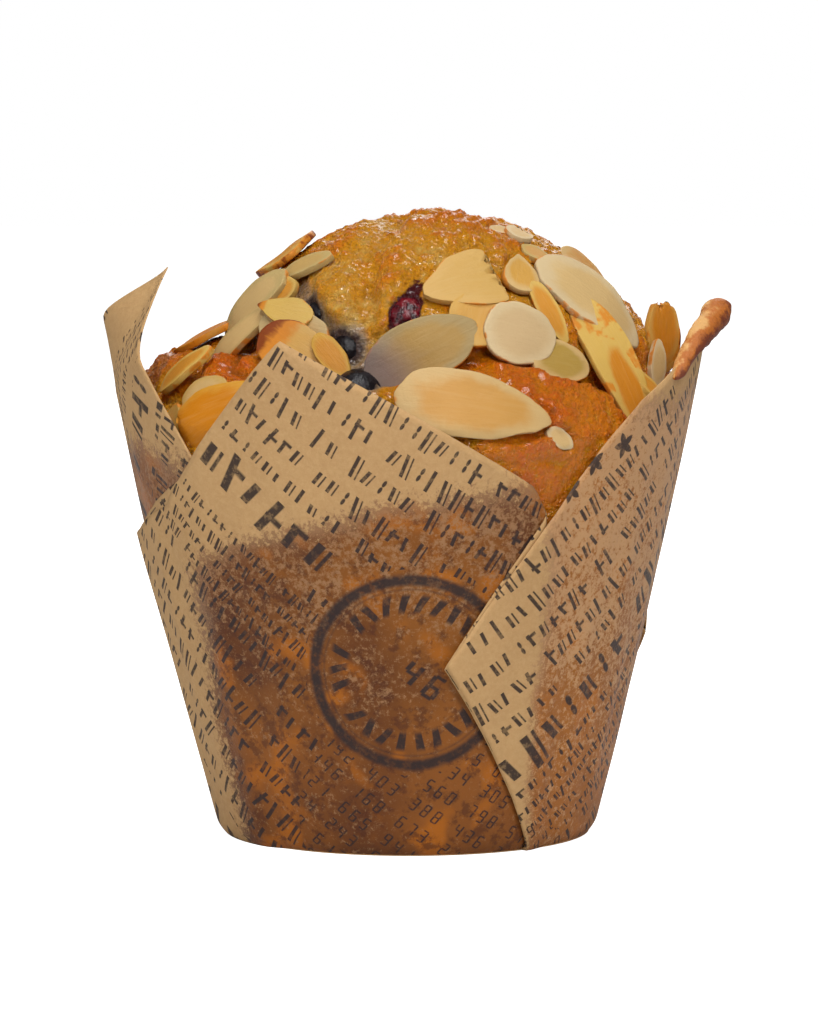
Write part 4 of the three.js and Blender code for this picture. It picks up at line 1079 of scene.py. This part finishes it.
# the outline wobbles as a cut kernel does, and a slice that meets the paper is pressed to it
OUTLINE_WOBBLE, EDGE_WOBBLE = 0.07, 0.015
SNAP_WOBBLE = 0.03
CURL = 0.22
PAPER_ROOM = 0.75
SOFT_RIM = 0.28
for number, slice_ in enumerate(ALMONDS):
    length, width = slice_["size"]
    snap, point = slice_.get("snap", 0), slice_.get("point", 0.15)
    end = 1 - 2 * abs(snap)
    centre, lengthwise, crosswise, out = slice_frame(slice_)
    bm = bmesh.new()
    slice_layer = bm.loops.layers.uv.new("slice")
    toast_layer = bm.verts.layers.float.new("toast")
    stain_layer = bm.verts.layers.float.new("stain")
    rim_layer = bm.verts.layers.float_color.new("rim")
    core_layer = bm.verts.layers.float_color.new("core")
    rim_tone, core_tone, toasted = LOOKS.get(slice_["name"], PLAIN_LOOK)
    burnt_from = BURNT_END.get(slice_["name"])
    core_at, core_size = CORE_AT.get(slice_["name"], (0, 1.0))
    bmesh.ops.create_circle(bm, cap_ends=True, segments=ALMOND_SIDES, radius=ALMOND_RINGS[0])
    edges = list(bm.edges)
    for inner, outer in zip(ALMOND_RINGS[:-1], ALMOND_RINGS[1:]):
        made = bmesh.ops.extrude_edge_only(bm, edges=edges)["geom"]
        edges = [g for g in made if isinstance(g, bmesh.types.BMEdge) and g.is_boundary]
        ring = {v for e in edges for v in e.verts}
        bmesh.ops.scale(bm, verts=list(ring), vec=(outer / inner,) * 3)
    drift = 7.0 * number
    for vert in bm.verts:
        x, y = vert.co.x, vert.co.y
        share = math.hypot(x, y)
        wobble = 1 + OUTLINE_WOBBLE * noise.noise(Vector((2.2 * x, 2.2 * y, drift))) * share
        wobble += EDGE_WOBBLE * noise.noise(Vector((7 * x, 7 * y, drift))) * share**4
        along = max(x, -end) if snap < 0 else min(x, end)
        if snap and abs(x) > end:
            along += SNAP_WOBBLE * noise.noise(Vector((5 * y, drift, 0)))
        across = y * (1 - point * x) * wobble
        for loop in vert.link_loops:
            loop[slice_layer].uv = (0.5 + (x - core_at) / 2 / core_size, 0.5 + y / 2 / core_size)
        vert[rim_layer] = srgb(*rim_tone)
        vert[core_layer] = srgb(*core_tone)
        vert[toast_layer] = toasted
        if burnt_from is not None:
            side = 1 if burnt_from > 0 else -1
            vert[toast_layer] += BURNT_MORE * float(smooth(side * x, abs(burnt_from), 1.0))
        reach_along, reach_across = along * wobble * length / 2, across * width / 2
        height = -ALMOND_BOW * reach_along**2
        height += CURL * noise.noise(Vector((reach_along * 0.22, reach_across * 0.3, drift + 3)))
        place = centre + lengthwise * reach_along + crosswise * reach_across + out * height
        pressed = max(0.0, float(cup_wall(place)) + PAPER_ROOM)
        place -= around(math.degrees(math.atan2(place[0], -place[1])), pressed, 0.0)
        vert.co = Vector(place) * MM
        berry_gap = min(
            np.linalg.norm(place - berry["middle"]) - berry["radius"] for berry in DARK_BERRIES
        )
        near_berry = 1 - float(smooth(berry_gap, 1, JUICE_REACH))
        vert[stain_layer] = STAINED.get(slice_["name"], PLAIN_STAIN) * near_berry
    bmesh.ops.recalc_face_normals(bm, faces=bm.faces)
    piece = new_piece("slice_" + slice_["name"], bm)
    wall = piece.modifiers.new("thickness", "SOLIDIFY")
    wall.thickness = ALMOND_THICKNESS * MM
    wall.offset = 0
    soft = piece.modifiers.new("soft_rim", "BEVEL")
    soft.width = SOFT_RIM * MM
    soft.segments = 2
    soft.limit_method = "ANGLE"
    piece.data.materials.append(kernel)
    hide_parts("almond_" + slice_["name"])
    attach(piece, "root")


# Berries: dark berries that sank in the batter and show where the crust split.
# Their skin wrinkled in the oven; one burst and shows its red flesh.
BERRY_DETAIL = 5
SKIN_SHRINK = 0.985
WRINKLE_DEPTH = 0.09
WRINKLE_WIDTH = 0.3
skin, tree, shader, spot = new_material("berry_skin")
bloom = ramp(tree, texture(tree, spot, 0.5, 4, 0.6), 0.45, 0.7)
colour = tint(tree, calc(tree, "MULTIPLY", bloom, 0.5), srgb(14, 8, 12), srgb(44, 34, 44))
tree.links.new(colour, shader.inputs["Base Color"])
tree.links.new(ramp(tree, bloom, 0, 1, 0.35, 0.6), shader.inputs["Roughness"])
shader.inputs["Specular IOR Level"].default_value = 0.3
tree.links.new(bump(tree, texture(tree, spot, 0.8, 4, 0.6), 0.6, 0.5), shader.inputs["Normal"])
flesh, tree, shader, spot = new_material("burst_berry")
pulp = texture(tree, spot, 0.7, 3, 0.6)
colour = tint(tree, ramp(tree, pulp, 0.4, 0.65), srgb(44, 2, 12), srgb(112, 10, 26))
tree.links.new(colour, shader.inputs["Base Color"])
shader.inputs["Roughness"].default_value = 0.25
tree.links.new(bump(tree, pulp, 0.7, 0.8), shader.inputs["Normal"])
for number, berry in enumerate(BERRIES):
    bm = bmesh.new()
    bmesh.ops.create_icosphere(bm, subdivisions=BERRY_DETAIL, radius=1)
    for vert in bm.verts:
        out = vert.co.normalized()
        crease = abs(noise.fractal(out * 1.6 + Vector((number * 9, 0, 0)), 0.8, 2.1, 3))
        share = SKIN_SHRINK - WRINKLE_DEPTH * max(0, WRINKLE_WIDTH - crease)
        vert.co = Vector(berry["middle"]) * MM + out * (berry["radius"] * share) * MM
    piece = new_piece("fruit_" + berry["name"], bm)
    burst = berry["name"] == "burst_red"
    piece.data.materials.append(flesh if burst else skin)
    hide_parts("berry_" + berry["name"])
    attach(piece, "root")


# Baked drip: batter that ran over the edge of the right petal and set as a bead.
# It is baked brown and uneven, paler on its upper and inner side as painted light and darker below and
# outside as painted shade.
DRIP = (
    {"at": (65.5, 40.8, 65.0), "radii": (2.2, 1.2, 1.3)},
    {"at": (69, 41.4, 67.3), "radii": (2.7, 1.4, 1.6)},
    {"at": (73.2, 42.0, 69.3), "radii": (3.0, 1.6, 1.8)},
    {"at": (78, 42.7, 70.9), "radii": (3.0, 1.9, 1.9)},
)
DRIP_END_FROM, DRIP_END_TO = -3.0, 3.0
DRIP_LUMPS = 0.2
DRIP_SIDES, DRIP_RINGS = 48, 96
bm = bmesh.new()
pale = bm.verts.layers.float.new("pale")
verts, shares = grid_shape(bm, DRIP_SIDES, DRIP_RINGS)
middles = np.array([around(*map(np.float64, lump["at"])) for lump in DRIP])
radii = np.array([lump["radii"] for lump in DRIP])
steps = np.concatenate([[0], np.cumsum(np.linalg.norm(np.diff(middles, axis=0), axis=1))])
way = lerp(DRIP_END_FROM, steps[-1] + DRIP_END_TO, (1 - np.cos(math.pi * shares[:, 1])) / 2)
held = np.clip(way, 0, steps[-1])
line = np.stack([np.interp(held, steps, middles[:, k]) for k in range(3)], -1)
first_way = middles[1] - middles[0]
last_way = middles[3] - middles[2]
line += np.minimum(way, 0)[:, None] * first_way / np.linalg.norm(first_way)
line += np.maximum(way - steps[-1], 0)[:, None] * last_way / np.linalg.norm(last_way)
close = np.sqrt(np.clip(1 - (np.minimum(way, 0) / DRIP_END_FROM) ** 2, 0, 1))
close *= np.sqrt(np.clip(1 - (np.maximum(way - steps[-1], 0) / DRIP_END_TO) ** 2, 0, 1))
thick = np.interp(held, steps, radii[:, 1]) * close
tall = np.interp(held, steps, radii[:, 2]) * close
turn = 2 * math.pi * shares[:, 0]
azimuth = np.interp(held, steps, [lump["at"][0] for lump in DRIP])
outward = around(azimuth, 1 + 0 * azimuth, 0 * azimuth)
places = line + outward * (thick * np.cos(turn))[:, None]
places[:, 2] += tall * np.sin(turn)
lumps = np.array([noise.fractal(Vector(p) * 0.3, 0.9, 2.1, 4) for p in places])
places += (places - line) * (DRIP_LUMPS * lumps * close)[:, None]
for vert, place, a in zip(verts, places, turn):
    vert.co = place * MM
    # painted light and shade: the share is higher on the upper and inner side, lower below and outside
    vert[pale] = 0.5 + 0.35 * math.sin(a) - 0.35 * math.cos(a)
bmesh.ops.remove_doubles(bm, verts=bm.verts, dist=0.01 * MM)
bmesh.ops.recalc_face_normals(bm, faces=bm.faces)
drip_piece = new_piece("baked_drip", bm)
bead, tree, shader, spot = new_material("browned_drip")
rough = texture(tree, spot, 0.35, 4, 0.65)
uneven = calc(tree, "MULTIPLY", calc(tree, "SUBTRACT", rough, 0.5), 2.0)
# the painted lit side plus uneven browning from the noise
lit_side_and_browning = calc(tree, "ADD", attribute_of(tree, "pale"), uneven)
colour = tint(tree, ramp(tree, lit_side_and_browning, 0.1, 0.5), srgb(112, 48, 12), srgb(176, 98, 26))
colour = tint(tree, ramp(tree, lit_side_and_browning, 0.6, 1.0), colour, srgb(214, 162, 96))
tree.links.new(colour, shader.inputs["Base Color"])
shader.inputs["Roughness"].default_value = 0.6
tree.links.new(bump(tree, texture(tree, spot, 1.1, 4, 0.65), 0.7, 0.4), shader.inputs["Normal"])
drip_piece.data.materials.append(bead)
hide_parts("crust_drip")
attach(drip_piece, "root")


# Studio: a white floor and background, a broad light from the front right with weaker
# ones from above, the left and the back, and the camera just over the rim of the case.
floor_mesh = bpy.data.meshes.new("studio_floor")
bm = bmesh.new()
bmesh.ops.create_grid(bm, x_segments=1, y_segments=1, size=3)
bm.to_mesh(floor_mesh)
bm.free()
floor = bpy.data.objects.new("studio_floor", floor_mesh)
bpy.context.scene.collection.objects.link(floor)
plain, tree, shader, spot = new_material("studio_white")
shader.inputs["Base Color"].default_value = (0.75, 0.75, 0.75, 1)
shader.inputs["Roughness"].default_value = 0.9
shader.inputs["Emission Color"].default_value = (1, 1, 1, 1)
in_view = tree.nodes.new("ShaderNodeLightPath").outputs["Is Camera Ray"]
tree.links.new(in_view, shader.inputs["Emission Strength"])
floor.data.materials.append(plain)

world = bpy.data.worlds.new("studio")
world.use_nodes = True
tree = world.node_tree
seen = tree.nodes.new("ShaderNodeLightPath").outputs["Is Camera Ray"]
strength = ramp(tree, seen, 0, 1, 0.15, 1.0)
tree.links.new(strength, tree.nodes["Background"].inputs["Strength"])
tree.nodes["Background"].inputs["Color"].default_value = (1, 1, 1, 1)
bpy.context.scene.world = world
LIT_MIDDLE = Vector((0, 0, 0.045))
for name, place, size, power in (
    ("key", (0.3, -0.8, 0.6), 0.3, 3.9),
    ("top", (0.05, -0.2, 0.9), 0.25, 3.3),
    ("fill", (-0.8, -0.5, 0.35), 0.4, 1.6),
    ("glint", (-0.15, -0.6, 0.75), 0.05, 2.4),
    ("back", (0.1, 0.9, 0.5), 0.5, 2.6),
):
    lamp = bpy.data.lights.new(name, "AREA")
    lamp.energy = power
    lamp.size = size
    light = bpy.data.objects.new(name, lamp)
    light.location = place
    light.rotation_euler = (LIT_MIDDLE - Vector(place)).to_track_quat("-Z", "Y").to_euler()
    bpy.context.scene.collection.objects.link(light)

CAMERA_DISTANCE = 0.65
CAMERA_ELEVATION = math.radians(5)
target = Vector((0, 0, 0.0435))
lens = bpy.data.cameras.new("camera")
lens.lens = 167.5
lens.sensor_width = 36
camera = bpy.data.objects.new("camera", lens)
from_target = Vector((0, -math.cos(CAMERA_ELEVATION), math.sin(CAMERA_ELEVATION)))
camera.location = target + CAMERA_DISTANCE * from_target
camera.rotation_euler = (target - camera.location).to_track_quat("-Z", "Y").to_euler()
bpy.context.scene.collection.objects.link(camera)
bpy.context.scene.camera = camera
bpy.context.scene.view_settings.view_transform = "Standard"
